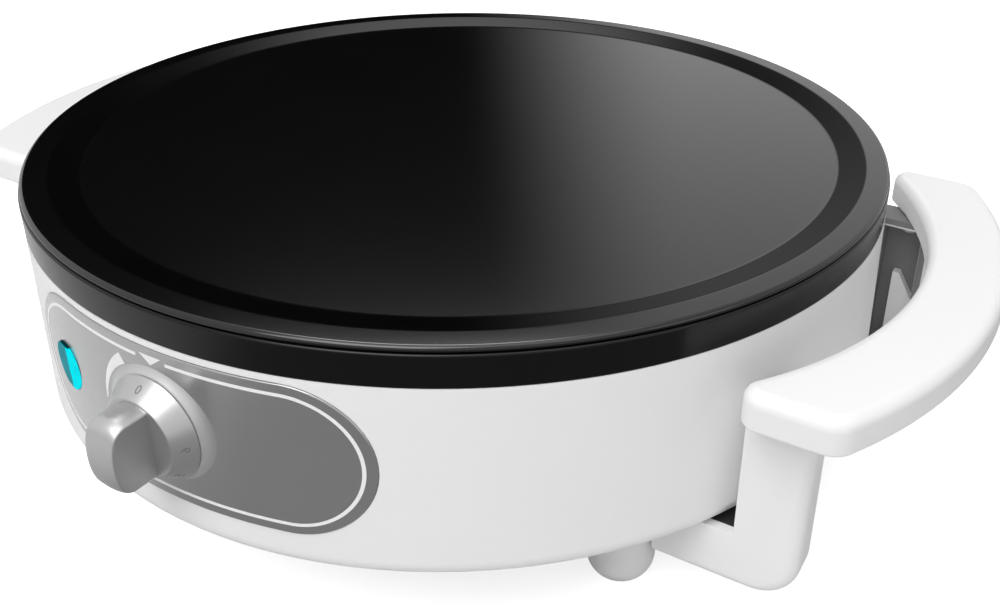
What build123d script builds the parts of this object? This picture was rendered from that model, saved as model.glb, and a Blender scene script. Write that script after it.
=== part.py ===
"""Electric crepe maker: round cast plate, white drum body, two bracket handles, one thermostat knob.

Millimetres. Z is up, the table is z = 0 and the origin is the centre of the footprint.
The control panel faces -Y and the two handles stand out along +X and -X.
"""
import os
from math import cos, degrees, radians, sin, sqrt

from build123d import *

# ---------------------------------------------------------------- driving sizes
# Heights, from the table up.
base_height = 35.4            # table to the underside of the body
body_height = 62.6            # white drum
collar_height = 10.0          # black ring above the drum
plate_reveal = 0.5            # dark line between collar and plate lip
plate_lip_thickness = 1.5

# Cooking plate.
plate_radius = 150.0
plate_lip_round = 1.4
cooking_recess = 2.4          # rim top down to the cooking face
rim_width = 7.8               # flat top of the rim, from the plate's edge
rim_slope_width = 9.6         # sloped band between rim and cooking face
plate_thickness = 5.0         # under the cooking face
plate_skirt_width = 9.0
plate_skirt_clearance = 0.4   # skirt to the collar's bore
plate_post_depth = 2.9        # tie posts in the plate's underside
plate_post_hole_depth = 3.0

# Collar between plate and body.
collar_overhang = 0.5         # collar beyond the plate
collar_wall = 3.2
collar_ledge_width = 6.5
collar_ledge_height = 3.0
collar_inner_step = 1.0       # thinner inside edge of the collar's floor
collar_edge_round = 0.8
collar_spigot_depth = 6.0
collar_spigot_wall = 2.4
collar_spigot_clearance = 0.3

# Body drum, slightly wider at its foot.
body_overhang = 0.1           # drum's top beyond the collar
body_flare = 1.7              # drum's foot beyond its top
body_wall = 2.6
body_top_flange = 8.0
body_edge_round = 6.0

# Base cover that closes the drum from below.
base_cover_thickness = 2.6
base_cover_clearance = 0.4
base_lip_width = 9.0          # ring of the body that the cover drops into
base_ledge_width = 4.0
base_screw_inset = 10.9       # screw ring inside the cover's edge
base_screw_count = 6
base_boss_radius = 5.0
base_boss_height = 14.0
base_boss_rib = 3.0
base_boss_roof = 3.0          # solid top above the boss's screw hole
base_screw_spare = 4.0        # the screw is this much shorter than its boss
base_head_room = 0.6          # gap round a screw head sunk into a tower
vent_count = 18
vent_width = 4.0
vent_inner_radius = 28.0
vent_outer_radius = 52.0

# Handles.
grip_top_height = 93.5
grip_thickness = 11.5
grip_half_length = 86.0
finger_gap = 14.7             # drum to the middle of the grip
grip_width = 25.6             # across the middle of the grip
grip_inner_radius = 125.5
grip_outer_radius = 160.0
grip_outer_corner = 9.0
grip_inner_corner = 5.8
grip_top_round = 3.8
grip_bottom_round = 1.2
leg_face = 74.0               # distance of the leg's outer face from the X axis
leg_width = 20.1
leg_depth = 12.0
leg_wall = 3.0
leg_edge_round = 4.6
leg_corner_round = 14.0
leg_web_top = 58.0            # height of the stiffening web in the hollow of the leg
leg_web_inset = 7.9           # from the leg's inner edge
leg_web_thickness = 4.0
leg_web_tip = 2.4
leg_web_slope = 14.0
arm_bottom_height = 14.9
arm_gap_to_body = 0.4
leg_gap_to_body = 0.4
arm_length = 25.5             # leg to the arm's free end under the base
arm_depth = 15.0
ear_width = 13.4              # black lug of the base inside each arm
ear_clearance = 0.3
ear_end_gap = 1.2
arm_screw_inset = 6.2
arm_screw_pitch = 12.0
arm_screw_grip = 8.0          # screw length beyond the arm's floor
arm_lug_roof = 2.0            # solid top above the lug's screw holes
grip_screw_grip = 7.0         # screw length beyond the leg's top wall
grip_screw_hole_depth = 8.0
leg_inner_wall_share = 0.8    # of the leg's wall, on the side of the drum
leg_hollow_rise_share = 0.35  # of the corner's round, where the leg's hollow starts
leg_web_rise_share = 0.4      # of the corner's round, where the web's outer edge starts
leg_rounded_share = 0.7       # of the corner's round, beyond which the leg's edge is rounded

# Feet.
foot_arm_gap = 1.0            # foot to the arm's free end
foot_reach_y = 70.5
foot_radius = 11.0
foot_end_round = 8.6
foot_pad_thickness = 2.4
foot_pad_proud = 0.5
foot_screw_length = 16.0
foot_screw_spare = 3.0        # the screw is this much shorter than its hole and seat
foot_hole_spare = 2.0
foot_pad_stem_radius = 2.2
foot_pad_stem_gap = 0.1       # end of the stem to the bottom of its hole
foot_pad_inset = 0.2          # pad's edge inside the foot's flat end

# Control panel, knob and indicator, all centred on the height of the knob's axis.
control_rise = 36.6           # underside of the drum to the knob's axis
panel_half_length = 65.0      # along the arc of the drum
panel_height = 47.8
panel_thickness = 1.3
panel_proud = 0.4
panel_clearance = 0.15
knob_base_radius = 16.4
knob_face_radius = 12.2
knob_skirt_height = 5.8
knob_gap = 1.3                # panel to the knob's skirt
knob_bar_width = 13.4
knob_bar_height = 21.6
knob_bar_side_radius = 11.5
knob_bar_rise = 12.2
knob_bar_dome = 26.0
knob_bar_round = 1.8
knob_cavity_radius = 10.4
knob_cavity_depth = 4.2
knob_bar_root = 0.5           # the bar is sunk this far into the skirt
knob_crown_start = 3.0        # height of the bar above which its edges are rounded
knob_hub_wall = 2.6
knob_hub_start = 2.6          # knob's open side to its hub
knob_bore_end = 4.0           # solid tip of the bar above the bore
shaft_tip_gap = 1.0           # end of the shaft to the end of the bore
shaft_flat_start = 2.4        # knob's open side to the shaft's flat
shaft_radius = 3.0
shaft_flat = 0.8
shaft_fit = 0.05
lens_offset = 45.0            # along the arc, knob axis to lens
lens_radius = 7.6
lens_fit = 0.2
lens_ridge = 2.6
lens_facet_angle = 15.0
lens_flange_radius = 10.0
lens_flange_thickness = 1.6
lens_seat_gap = 0.3           # drum's inside wall to the lens's seat
lens_flange_setback = 1.2
lens_root_length = 1.5        # lens's root through the seat
lens_root_sunk = 0.2
holder_gap = 0.1
holder_depth = 12.0
holder_floor = 2.0
holder_wall = 1.6
lamp_hole_radius = 1.4
lamp_stem_radius = 1.35
lamp_tip_gap = 0.4
lamp_glass_end = 9.9
lamp_stem_start = 9.0
lamp_stem_end = 16.0
lamp_radius = 3.0

# Thermostat behind the panel.
thermostat_width = 32.0
thermostat_height = 30.0
thermostat_depth = 20.0
thermostat_pad_radius = 15.0
thermostat_pad_thickness = 3.0
thermostat_corner_round = 2.0
thermostat_bore_clearance = 0.1
thermostat_bore_share = 0.7   # of the housing's depth
shaft_seat_share = 0.6        # of the housing's depth
tab_offset = 8.0              # terminal tabs either side of the housing's middle
tab_width = 6.0
tab_setback = 9.0
tab_thickness = 0.8
tab_drop = 8.0
tab_wire_drop = 6.0           # underside of the housing to the mains wires
tab_lead_drop = 2.5           # underside of the housing to the lamp lead
tab_wire_gap = 0.2
bush_radius = 5.0
bush_hole_clearance = 0.2
nut_across_flats = 14.0
nut_thickness = 2.4
nut_seat_gap = 0.25           # nut to the panel's curved face
bush_end_proud = 0.2          # bush beyond the nut
capillary_radius = 1.0
bulb_radius = 3.0
bulb_length = 60.0
capillary_lead = 8.0          # bend of the capillary before the bulb
bulb_clearance = 0.1
capillary_exit = (-6.0, -8.0)     # X and height from the knob's axis where the tube leaves the housing
capillary_exit_length = 14.0
capillary_approach = 16.0
capillary_turn_drop = 10.0    # below the reflector, where the tube turns up
capillary_rise_drop = 6.0
capillary_bend = 3.5
bulb_clip_inset = 14.0        # clip to the bulb's end
bulb_clip_length = 8.0
bulb_clip_foot = 6.0
bulb_clip_foot_thickness = 1.0
bulb_clip_wall = 1.0
bulb_clip_gap = 0.2

# Heating.
element_radius = 4.0
element_ring_radius = 92.0
element_gap_angle = 24.0
element_groove_clearance = 0.1
element_leg_length = 20.0
element_pin_radius = 1.6
element_pin_length = 10.0
clamp_count = 4
clamp_width = 26.0
clamp_depth = 9.0
clamp_thickness = 1.6
clamp_end = 2.6               # screw to the strap's end
clamp_bridge_wall = 1.7
clamp_side_gap = 0.5
clamp_drop_gap = 0.3
clamp_hole_clearance = 0.15
clamp_screw_grip = 3.2        # screw length beyond the strap
clamp_screw_hole_depth = 3.5
reflector_gap = 15.9          # collar's spigot to the reflector's dish
reflector_drop = 14.0         # plate underside to the reflector's floor
reflector_rim = 8.0
reflector_sheet = 0.8
reflector_slope = 6.0         # width of the dish's sloped side
reflector_flange = 3.0
reflector_offset = 0.5        # inside of the bent side to its outside
reflector_post_clearance = 0.2
reflector_hole_clearance = 1.2

# Tie posts hold plate, reflector and base cover together.
post_ring_radius = 62.0
post_radius = 3.6
post_shoulder_radius = 5.0
tower_height = 22.0
tower_radius = 7.0
push_nut_radius = 7.0
push_nut_thickness = 0.8
tower_seat_depth = 5.0        # screw head's seat below the tower's top
tie_screw_length = 14.0
tie_screw_hole_depth = 12.0

# Mains side.
gland_rise = 16.6             # underside of the drum to the cord gland
gland_radius = 6.0
gland_bore_radius = 3.8
gland_flange_radius = 9.0
gland_flange_thickness = 2.4
gland_seat_gap = 0.45         # flange to the drum's curved wall
gland_hole_clearance = 0.15
gland_wall_gap = 0.4          # inside wall to the gland's catch
gland_catch_width = 1.2
gland_catch_end = 3.0
gland_rim_round = 1.0
terminal_setback = 56.3       # drum's wall to the terminal block
terminal_length = 34.0
terminal_width = 17.0
terminal_height = 15.0
terminal_hole_radius = 2.7
terminal_hole_share = 0.42    # of the block's height
terminal_pitch_share = 0.3125  # of the block's length
terminal_well_radius = 2.2
terminal_well_floor = 6.0
terminal_screw_radius = 2.1
terminal_screw_gap = 0.1      # screw's tip to the wire below it
terminal_screw_sunk = 1.0
wire_radius = 1.2
lead_radius = 0.6
fuse_radius = 2.4
fuse_length = 16.0
fuse_x = 58.0
fuse_y = 66.0
wire_end_gap = 0.1

# Routes of the wires, chosen by hand. Plain ones are X and Y places on the floor of the base.
wire_floor = 8.0              # base cover to the wires that run along it
lead_floor = 14.0
core_pitch = 2.3
core_radius_share = 0.9       # cord core to inner wire
core_start = 5.0              # drum's inside wall to the ends of the cord cores
core_straight = 10.0
core_approach = 18.0
core_bend = 4.0
wire_tip = 0.3                # each wire ends this far from the terminal block's middle
wire_approach = 18.0
thermostat_wire_route = [(-60, 66), (-76, 10), (-70, -60), (-24, -112)]
thermostat_wire_bend = 5.0
tab_straight = 14.0
pin_wire_route = [(60, -84), (84, -46)]
pin_wire_bend = 4.0
pin_wire_side = 8.0
pin_wire_rise = 16.0
fuse_wire_drop = 10.0
fuse_wire_side = 4.0
fuse_wire_reach = 20.0
fuse_wire_rise = 4.0
fuse_wire_straight = 16.0
fuse_wire_bend = 3.0
fuse_lead_straight = 12.0
fuse_lead_corner = (20, -42, 60)    # X, Y from the terminal block's middle, height
fuse_lead_approach = 34.0
fuse_lead_bend = 4.0
lead_tip = 3.0                # lamp lead's end inside the terminal block
lead_gap = 0.15
lead_inside = 20.0            # drum's inside wall to the lamp leads' ends
lead_spread = 0.4             # degrees either side of the lamp's middle
lead_first_step = (3, 10)
short_lead_bend = 3.0
short_lead_turn = (-2, 22)
short_lead_approach = 12.0
long_lead_route = [(-66, -58), (-70, 10)]
long_lead_last_corner = (-54, -36)
long_lead_rise = (-8, -26)
long_lead_rise_height = 16.0
long_lead_approach = 20.0
long_lead_bend = 4.0

# Screws.
screw_radius = 1.6
screw_head_radius = 3.2
screw_head_height = 2.0
screw_hole_clearance = 0.2
small_screw_radius = 1.2
small_head_radius = 2.4
small_head_height = 1.4
press_gap = 0.05              # screw or pin in its plain hole
screw_slot_width = 0.8
screw_slot_share = 0.5        # of the head's height
screw_head_round_share = 0.45

# Cutters and joined blocks.
overcut = 1.0                 # a cutter runs this far past the face that it opens
long_cut = 10.0               # the same for bores through curved walls
far_cut = 20.0
overlap = 0.5                 # joined blocks run this far into each other
same_place = 0.01             # edges closer than this to a size are the ones meant

# ---------------------------------------------------------------- places worked out from them
cooking_radius = plate_radius - rim_width - rim_slope_width
rim_inner_radius = plate_radius - rim_width
collar_radius = plate_radius + collar_overhang
body_top_radius = collar_radius + body_overhang
body_bottom_radius = body_top_radius + body_flare
spigot_outer_radius = body_top_radius - body_top_flange - collar_spigot_clearance
spigot_inner_radius = spigot_outer_radius - collar_spigot_wall
reflector_radius = spigot_inner_radius - reflector_gap
control_height = base_height + control_rise
gland_height = base_height + gland_rise
leg_back = leg_face - leg_depth
leg_inner_reach = sqrt(body_bottom_radius ** 2 - leg_back ** 2)
leg_outer_reach = leg_inner_reach + leg_width
leg_web_edge = leg_inner_reach + leg_web_inset
arm_end_reach = leg_inner_reach - arm_length
arm_screw_reaches = [arm_end_reach + arm_screw_inset + arm_screw_pitch * i for i in range(2)]
grip_screw_reach = leg_outer_reach - (leg_width - leg_wall) / 2
foot_reach_x = arm_end_reach - foot_arm_gap - foot_radius
grip_inner_reach = body_bottom_radius + finger_gap
grip_outer_reach = grip_inner_reach + grip_width
cover_radius = body_bottom_radius - base_lip_width - base_cover_clearance
base_screw_radius = cover_radius - base_screw_inset
body_top = base_height + body_height
collar_top = body_top + collar_height
lip_bottom = collar_top + plate_reveal
rim_top = lip_bottom + plate_lip_thickness
cooking_height = rim_top - cooking_recess
plate_underside = cooking_height - plate_thickness
ledge_top = body_top + collar_ledge_height
collar_bore = collar_radius - collar_wall
skirt_radius = collar_bore - plate_skirt_clearance
cover_top = base_height + base_cover_thickness
grip_bottom = grip_top_height - grip_thickness
arm_top = base_height - arm_gap_to_body
ear_bottom = arm_bottom_height + leg_wall
ear_top = arm_top - ear_clearance
reflector_floor = plate_underside - reflector_drop
tower_top = cover_top + tower_height
fuse_height = reflector_floor - fuse_radius
post_angles = [45 + 90 * i for i in range(4)]
quadrants = [(1, 1), (-1, 1), (-1, -1), (1, -1)]


def body_radius_at(height):
    """Outer radius of the drum at a height."""
    share = (height - base_height) / body_height
    return body_bottom_radius + (body_top_radius - body_bottom_radius) * share


control_radius = body_radius_at(control_height)
panel_face = -(control_radius + panel_proud)          # Y of the panel's front at the knob
knob_base = panel_face - knob_gap
knob_face = knob_base - knob_skirt_height
knob_tip = knob_face - knob_bar_rise
thermostat_face = -(control_radius - body_wall - thermostat_pad_thickness)
lens_angle = -90 - degrees(lens_offset / control_radius)
gland_face = body_radius_at(gland_height)
lens_seat = -control_radius + body_wall + lens_seat_gap
holder_seat = lens_seat + lens_flange_setback + lens_flange_thickness + holder_gap
tab_wire_y = thermostat_face + tab_setback + tab_thickness + tab_wire_gap
terminal_y = body_bottom_radius - terminal_setback
terminal_ways = [terminal_length * terminal_pitch_share * i for i in (-1, 0, 1)]
terminal_hole_height = cover_top + terminal_height * terminal_hole_share


# ---------------------------------------------------------------- helpers
def turned(points):
    """Solid turned about the Z axis from (radius, height) corners."""
    outline = Polyline(*[(radius, 0, height) for radius, height in points], close=True)
    return revolve(make_face(outline), Axis.Z, 360)


def rod(radius, bottom, top, x=0.0, y=0.0):
    """Upright cylinder."""
    return Pos(x, y, (bottom + top) / 2) * Cylinder(radius, top - bottom)


def block(x0, x1, y0, y1, z0, z1):
    """Box between two corners."""
    centre = ((x0 + x1) / 2, (y0 + y1) / 2, (z0 + z1) / 2)
    return Pos(*centre) * Box(abs(x1 - x0), abs(y1 - y0), abs(z1 - z0))


def along_y(radius, y0, y1, x=0.0, z=0.0):
    """Cylinder lying along Y between two places."""
    return Pos(x, (y0 + y1) / 2, z) * Rot(90, 0, 0) * Cylinder(radius, abs(y1 - y0))


def radial(angle, height):
    """Place whose local -Y axis points outwards at an angle round the drum."""
    return Pos(0, 0, height) * Rot(0, 0, angle + 90)


def polar(radius, angle):
    """X and Y of a point on a circle."""
    return radius * cos(radians(angle)), radius * sin(radians(angle))


def tube(points, radius, bend):
    """Round wire or pipe through points, straight runs joined by tangent arcs."""
    path = FilletPolyline(*points, radius=bend)
    start = Plane(origin=path @ 0, z_dir=path % 0)
    return sweep(start * Circle(radius), path=path)


def ring_edges(solid, radius, height):
    """Circular edges of one radius at one height."""
    def matches(edge):
        centre = edge.arc_center
        return abs(edge.radius - radius) < same_place and abs(centre.Z - height) < same_place
    return [edge for edge in solid.edges().filter_by(GeomType.CIRCLE) if matches(edge)]


def to_quadrant(solid, side_x, side_y):
    """Copy of a piece made in the +X +Y quadrant, mirrored into another."""
    if side_x < 0:
        solid = mirror(solid, about=Plane.YZ)
    if side_y < 0:
        solid = mirror(solid, about=Plane.XZ)
    return solid


def screw(length, radius=screw_radius, head_radius=screw_head_radius, head=screw_head_height):
    """Pan-head screw standing on its head, shank upwards from z = 0."""
    shank = rod(radius, 0, length)
    cap = fillet(ring_edges(rod(head_radius, -head, 0), head_radius, -head), head * screw_head_round_share)
    drive = block(-head_radius, head_radius, -screw_slot_width / 2, screw_slot_width / 2,
                  -head, -head * screw_slot_share)
    return shank + (cap - drive)


def drum_layer(outer_offset, inner_offset, bottom, top):
    """Ring that follows the drum's wall between two offsets from its outside."""
    low, high = body_radius_at(bottom), body_radius_at(top)
    return turned([
        (low + inner_offset, bottom), (low + outer_offset, bottom),
        (high + outer_offset, top), (high + inner_offset, top)])


def stadium(half_length, height, y0, y1):
    """Racetrack prism along Y, centred on the control height."""
    flat = SlotOverall(2 * half_length, height)
    return Pos(0, y0, control_height) * extrude(Plane.XZ * flat, amount=-(y1 - y0))


def panel_solid(growth, outer_offset, inner_offset):
    """Curved racetrack plate on the front of the drum, grown sideways by a clearance."""
    half_chord = control_radius * sin((panel_half_length + growth) / control_radius)
    layer = drum_layer(outer_offset, inner_offset, base_height, body_top)
    prism = stadium(half_chord, panel_height + 2 * growth, -control_radius - far_cut, -control_radius / 2)
    return layer & prism


# ---------------------------------------------------------------- plate, collar, body, base
def make_cooking_plate():
    skirt_inner = skirt_radius - plate_skirt_width
    plate = turned([
        (0, plate_underside), (skirt_inner, plate_underside), (skirt_inner, ledge_top),
        (skirt_radius, ledge_top), (skirt_radius, lip_bottom), (plate_radius, lip_bottom),
        (plate_radius, rim_top), (rim_inner_radius, rim_top), (cooking_radius, cooking_height),
        (0, cooking_height)])
    plate = fillet(ring_edges(plate, plate_radius, rim_top), plate_lip_round)
    groove = Pos(0, 0, plate_underside) * Torus(
        element_ring_radius, element_radius + element_groove_clearance)
    plate -= groove
    for angle in post_angles:
        x, y = polar(post_ring_radius, angle)
        plate -= rod(post_radius + press_gap, plate_underside - overcut,
                     plate_underside + plate_post_hole_depth, x, y)
    for x, y in clamp_screw_places():
        plate -= rod(small_screw_radius + press_gap, plate_underside - overcut,
                     plate_underside + clamp_screw_hole_depth, x, y)
    return plate


def make_plate_collar():
    collar = turned([
        (spigot_inner_radius, body_top - collar_spigot_depth),
        (spigot_outer_radius, body_top - collar_spigot_depth),
        (spigot_outer_radius, body_top), (collar_radius, body_top), (collar_radius, collar_top),
        (collar_bore, collar_top), (collar_bore, ledge_top),
        (collar_bore - collar_ledge_width, ledge_top), (spigot_inner_radius, body_top + collar_inner_step)])
    return fillet(ring_edges(collar, collar_radius, collar_top), collar_edge_round)


def make_body_shell():
    low_lip = body_bottom_radius - base_lip_width
    shell = turned([
        (low_lip, base_height), (body_bottom_radius, base_height), (body_top_radius, body_top),
        (body_top_radius - body_top_flange, body_top),
        (body_top_radius - body_top_flange, body_top - body_wall),
        (body_radius_at(body_top - body_wall) - body_wall, body_top - body_wall),
        (body_radius_at(cover_top + body_wall) - body_wall, cover_top + body_wall),
        (low_lip - base_ledge_width, cover_top + body_wall), (low_lip - base_ledge_width, cover_top),
        (low_lip, cover_top)])
    shell = fillet(ring_edges(shell, body_bottom_radius, base_height), body_edge_round)
    for angle in base_screw_angles():
        shell += base_boss(angle)
    pad = along_y(thermostat_pad_radius, thermostat_face, -control_radius, z=control_height)
    pad &= drum_layer(0, -far_cut, base_height, body_top)
    shell += pad
    shell -= panel_solid(panel_clearance, overcut, panel_proud - panel_thickness)
    bush_hole = bush_radius + bush_hole_clearance
    shell -= along_y(bush_hole, thermostat_face + long_cut, panel_face - long_cut, z=control_height)
    shell -= lens_hole(lens_radius + lens_fit)
    gland_hole = gland_radius + gland_hole_clearance
    shell -= along_y(gland_hole, gland_face - far_cut, gland_face + long_cut, z=gland_height)
    return shell


def base_screw_angles():
    return [i * 360 / base_screw_count for i in range(base_screw_count)]


def base_boss(angle):
    """Screw boss above the base cover, tied to the wall by a rib."""
    x, y = polar(base_screw_radius, angle)
    boss = rod(base_boss_radius, cover_top, cover_top + base_boss_height, x, y)
    wall = body_bottom_radius - body_wall + overcut
    rib = block(base_screw_radius, wall, -base_boss_rib / 2, base_boss_rib / 2,
                cover_top, cover_top + base_boss_height)
    hole = rod(screw_radius + press_gap, cover_top - overcut,
               cover_top + base_boss_height - base_boss_roof, x, y)
    return (boss + Rot(0, 0, angle) * rib) - hole


def make_base_cover():
    cover = rod(cover_radius, base_height, cover_top)
    for angle in post_angles:
        x, y = polar(post_ring_radius, angle)
        cover += rod(tower_radius, cover_top - overlap, tower_top, x, y)
        cover -= rod(screw_radius + screw_hole_clearance, base_height - overcut, tower_top + overcut, x, y)
        cover -= rod(screw_head_radius + base_head_room, base_height - overcut,
                     tower_top - tower_seat_depth, x, y)
    lug_outer = leg_face - leg_wall - ear_clearance
    lug_inner = lug_outer - ear_width
    lug_start = arm_end_reach + ear_end_gap
    neck_reach = sqrt(cover_radius ** 2 - lug_outer ** 2) - ear_clearance
    for side_x, side_y in quadrants:
        lug = block(lug_start, leg_inner_reach - ear_end_gap, lug_outer, lug_inner,
                    ear_bottom + ear_clearance, ear_top)
        lug += block(lug_start, neck_reach, lug_outer, lug_inner, ear_top - overcut, base_height + overcut)
        for reach in arm_screw_reaches:
            lug -= rod(screw_radius + press_gap, ear_bottom, ear_top - arm_lug_roof, reach, arm_screw_y())
        cover += to_quadrant(lug, side_x, side_y)
    for angle in base_screw_angles():
        x, y = polar(base_screw_radius, angle)
        cover -= rod(screw_radius + screw_hole_clearance, base_height - overcut, cover_top + overcut, x, y)
    for side_x, side_y in quadrants:
        cover -= rod(screw_radius + screw_hole_clearance, base_height - overcut, cover_top + overcut,
                     side_x * foot_reach_x, side_y * foot_reach_y)
    for i in range(vent_count):
        slot = block(vent_inner_radius, vent_outer_radius, -vent_width / 2, vent_width / 2,
                     base_height - overcut, cover_top + overcut)
        cover -= Rot(0, 0, (i + 0.5) * 360 / vent_count) * slot
    return cover


# ---------------------------------------------------------------- handles and feet
def arm_screw_y():
    return leg_face - leg_wall - ear_clearance - ear_width / 2


def grip_screw_y():
    return leg_face - (leg_wall + leg_depth) / 2


def make_grip():
    """Curved grip on the +X side."""
    outer = Pos(grip_outer_reach - grip_outer_radius, 0) * Circle(grip_outer_radius)
    inner = Pos(grip_inner_reach - grip_inner_radius, 0) * Circle(grip_inner_radius)
    strip = Pos(grip_outer_reach, 0) * Rectangle(grip_outer_reach, 2 * grip_half_length)
    plan = (outer - inner) & strip
    plan = plan.faces().sort_by(Axis.X)[-1]
    grip = Pos(0, 0, grip_bottom) * extrude(plan, amount=grip_thickness)
    upright = grip.edges().filter_by(Axis.Z)
    ends = upright.sort_by(lambda edge: edge.center().X)
    grip = fillet(ends[2:], grip_outer_corner)
    upright = grip.edges().filter_by(Axis.Z).sort_by(lambda edge: edge.center().X)
    grip = fillet(upright[:2], grip_inner_corner)
    grip = fillet(grip.faces().sort_by(Axis.Z)[-1].edges(), grip_top_round)
    grip = fillet(grip.faces().sort_by(Axis.Z)[0].edges(), grip_bottom_round)
    for side in (-1, 1):
        grip -= rod(screw_radius + press_gap, grip_bottom - overcut, grip_bottom + grip_screw_hole_depth,
                    grip_screw_reach, side * grip_screw_y())
    return grip


def make_leg():
    """Hollow bracket leg in the +X +Y quadrant: upright channel and the arm under the body."""
    outline = (
        (arm_end_reach, arm_bottom_height), (leg_outer_reach, arm_bottom_height),
        (leg_outer_reach, grip_bottom), (leg_inner_reach, grip_bottom),
        (leg_inner_reach, arm_top), (arm_end_reach, arm_top))
    profile = make_face(Polyline(*[(x, leg_face, z) for x, z in outline], close=True))
    leg = extrude(profile, amount=leg_depth, dir=(0, -1, 0))
    corner = [edge for edge in leg.edges().filter_by(Axis.Y)
              if abs(edge.center().X - leg_outer_reach) < same_place and edge.center().Z < arm_top]
    leg = fillet(corner, leg_corner_round)
    face_edges = [edge for edge in leg.faces().sort_by(Axis.Y)[-1].edges()
                  if edge.center().X > leg_outer_reach - leg_corner_round * leg_rounded_share]
    leg = fillet(face_edges, leg_edge_round)
    wall_inside = leg_face - leg_wall
    hollow_floor = arm_bottom_height + leg_wall + leg_corner_round * leg_hollow_rise_share
    hollow = block(leg_inner_reach + leg_wall * leg_inner_wall_share, leg_outer_reach - leg_wall,
                   leg_back - overcut, wall_inside, hollow_floor, grip_bottom - leg_wall)
    low_hollow = block(arm_end_reach - overcut, leg_outer_reach - leg_corner_round,
                       leg_back - overcut, wall_inside, ear_bottom, arm_top + overcut)
    leg = leg - hollow - low_hollow
    leg += block(arm_end_reach, leg_inner_reach + leg_wall, leg_face - arm_depth, leg_back + overlap,
                 arm_bottom_height, ear_bottom)
    outer_wall = leg_outer_reach - leg_wall / 2
    web_points = (
        (leg_web_edge, ear_bottom - overcut), (leg_web_edge, leg_web_top),
        (leg_web_edge + leg_web_tip, leg_web_top), (outer_wall, leg_web_top - leg_web_slope),
        (outer_wall, ear_bottom + leg_corner_round * leg_web_rise_share),
        (leg_outer_reach - leg_corner_round, ear_bottom - overcut))
    web = make_face(Polyline(*[(x, wall_inside + overlap, z) for x, z in web_points], close=True))
    leg += extrude(web, amount=leg_web_thickness + overlap, dir=(0, -1, 0))
    leg -= rod(body_bottom_radius + leg_gap_to_body, arm_top, grip_bottom + overcut)
    for reach in arm_screw_reaches:
        leg -= rod(screw_radius + screw_hole_clearance, arm_bottom_height - overcut, ear_bottom + overcut,
                   reach, arm_screw_y())
    leg -= rod(screw_radius + screw_hole_clearance, grip_bottom - leg_wall - overcut, grip_bottom + overcut,
               grip_screw_reach, grip_screw_y())
    return leg


def make_foot():
    foot = rod(foot_radius, foot_pad_proud, base_height, foot_reach_x, foot_reach_y)
    foot = fillet(ring_edges(foot, foot_radius, foot_pad_proud), foot_end_round)
    foot -= rod(foot_pad_stem_radius, foot_pad_proud - overcut, foot_pad_thickness,
                foot_reach_x, foot_reach_y)
    return foot - rod(screw_radius + press_gap, base_height - foot_screw_length + foot_hole_spare,
                      base_height + overcut, foot_reach_x, foot_reach_y)


def make_foot_pad():
    """Soft tip: a thin disc under the foot with a stem pressed into it."""
    disc_radius = foot_radius - foot_end_round - foot_pad_inset
    disc = rod(disc_radius, 0, foot_pad_proud, foot_reach_x, foot_reach_y)
    stem = rod(foot_pad_stem_radius - press_gap, 0, foot_pad_thickness - foot_pad_stem_gap,
               foot_reach_x, foot_reach_y)
    return disc + stem


# ---------------------------------------------------------------- control panel, knob, lamp
def lens_hole(radius):
    return radial(lens_angle, control_height) * along_y(
        radius, -control_radius + long_cut, -control_radius - long_cut)


def make_control_panel():
    panel = panel_solid(0, panel_proud, panel_proud - panel_thickness)
    panel -= along_y(bush_radius + bush_hole_clearance, thermostat_face, panel_face - long_cut,
                     z=control_height)
    return panel - lens_hole(lens_radius + lens_fit)


def make_knob():
    skirt_profile = Polyline(
        (0, 0), (knob_base_radius, 0), (knob_face_radius, knob_skirt_height),
        (0, knob_skirt_height), close=True)
    skirt = revolve(make_face(Plane.XZ * skirt_profile), Axis.Z, 360)
    bar_top = knob_skirt_height + knob_bar_rise
    bar = block(-knob_bar_width / 2, knob_bar_width / 2, -knob_bar_height / 2, knob_bar_height / 2,
                knob_skirt_height - knob_bar_root, bar_top)
    bar &= rod(knob_bar_side_radius, 0, bar_top + overcut)
    dome = Pos(0, 0, bar_top - knob_bar_dome) * Rot(0, 90, 0) * Cylinder(knob_bar_dome, 2 * knob_base_radius)
    bar &= dome
    crown = [edge for edge in bar.edges() if edge.center().Z > knob_skirt_height + knob_crown_start]
    bar = fillet(crown, knob_bar_round)
    knob = skirt + bar
    knob -= rod(knob_cavity_radius, -overcut, knob_cavity_depth)
    hub = rod(shaft_radius + knob_hub_wall, knob_hub_start, knob_cavity_depth + overcut)
    knob += hub
    bore = rod(shaft_radius + shaft_fit, -overcut, bar_top - knob_bore_end)
    flat = block(-shaft_radius - overcut, shaft_radius + overcut, shaft_radius - shaft_flat + shaft_fit,
                 shaft_radius + overcut, -2 * overcut, bar_top)
    knob -= bore - flat
    return Pos(0, knob_base, control_height) * Rot(90, 0, 0) * knob


def make_shaft():
    inner = thermostat_face + thermostat_depth * shaft_seat_share
    outer = knob_tip + knob_bore_end + shaft_tip_gap
    shaft = along_y(shaft_radius, inner, outer, z=control_height)
    flat = block(-long_cut, long_cut, outer - overcut, knob_base + shaft_flat_start,
                 control_height + shaft_radius - shaft_flat, control_height + long_cut)
    return shaft - flat


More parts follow.
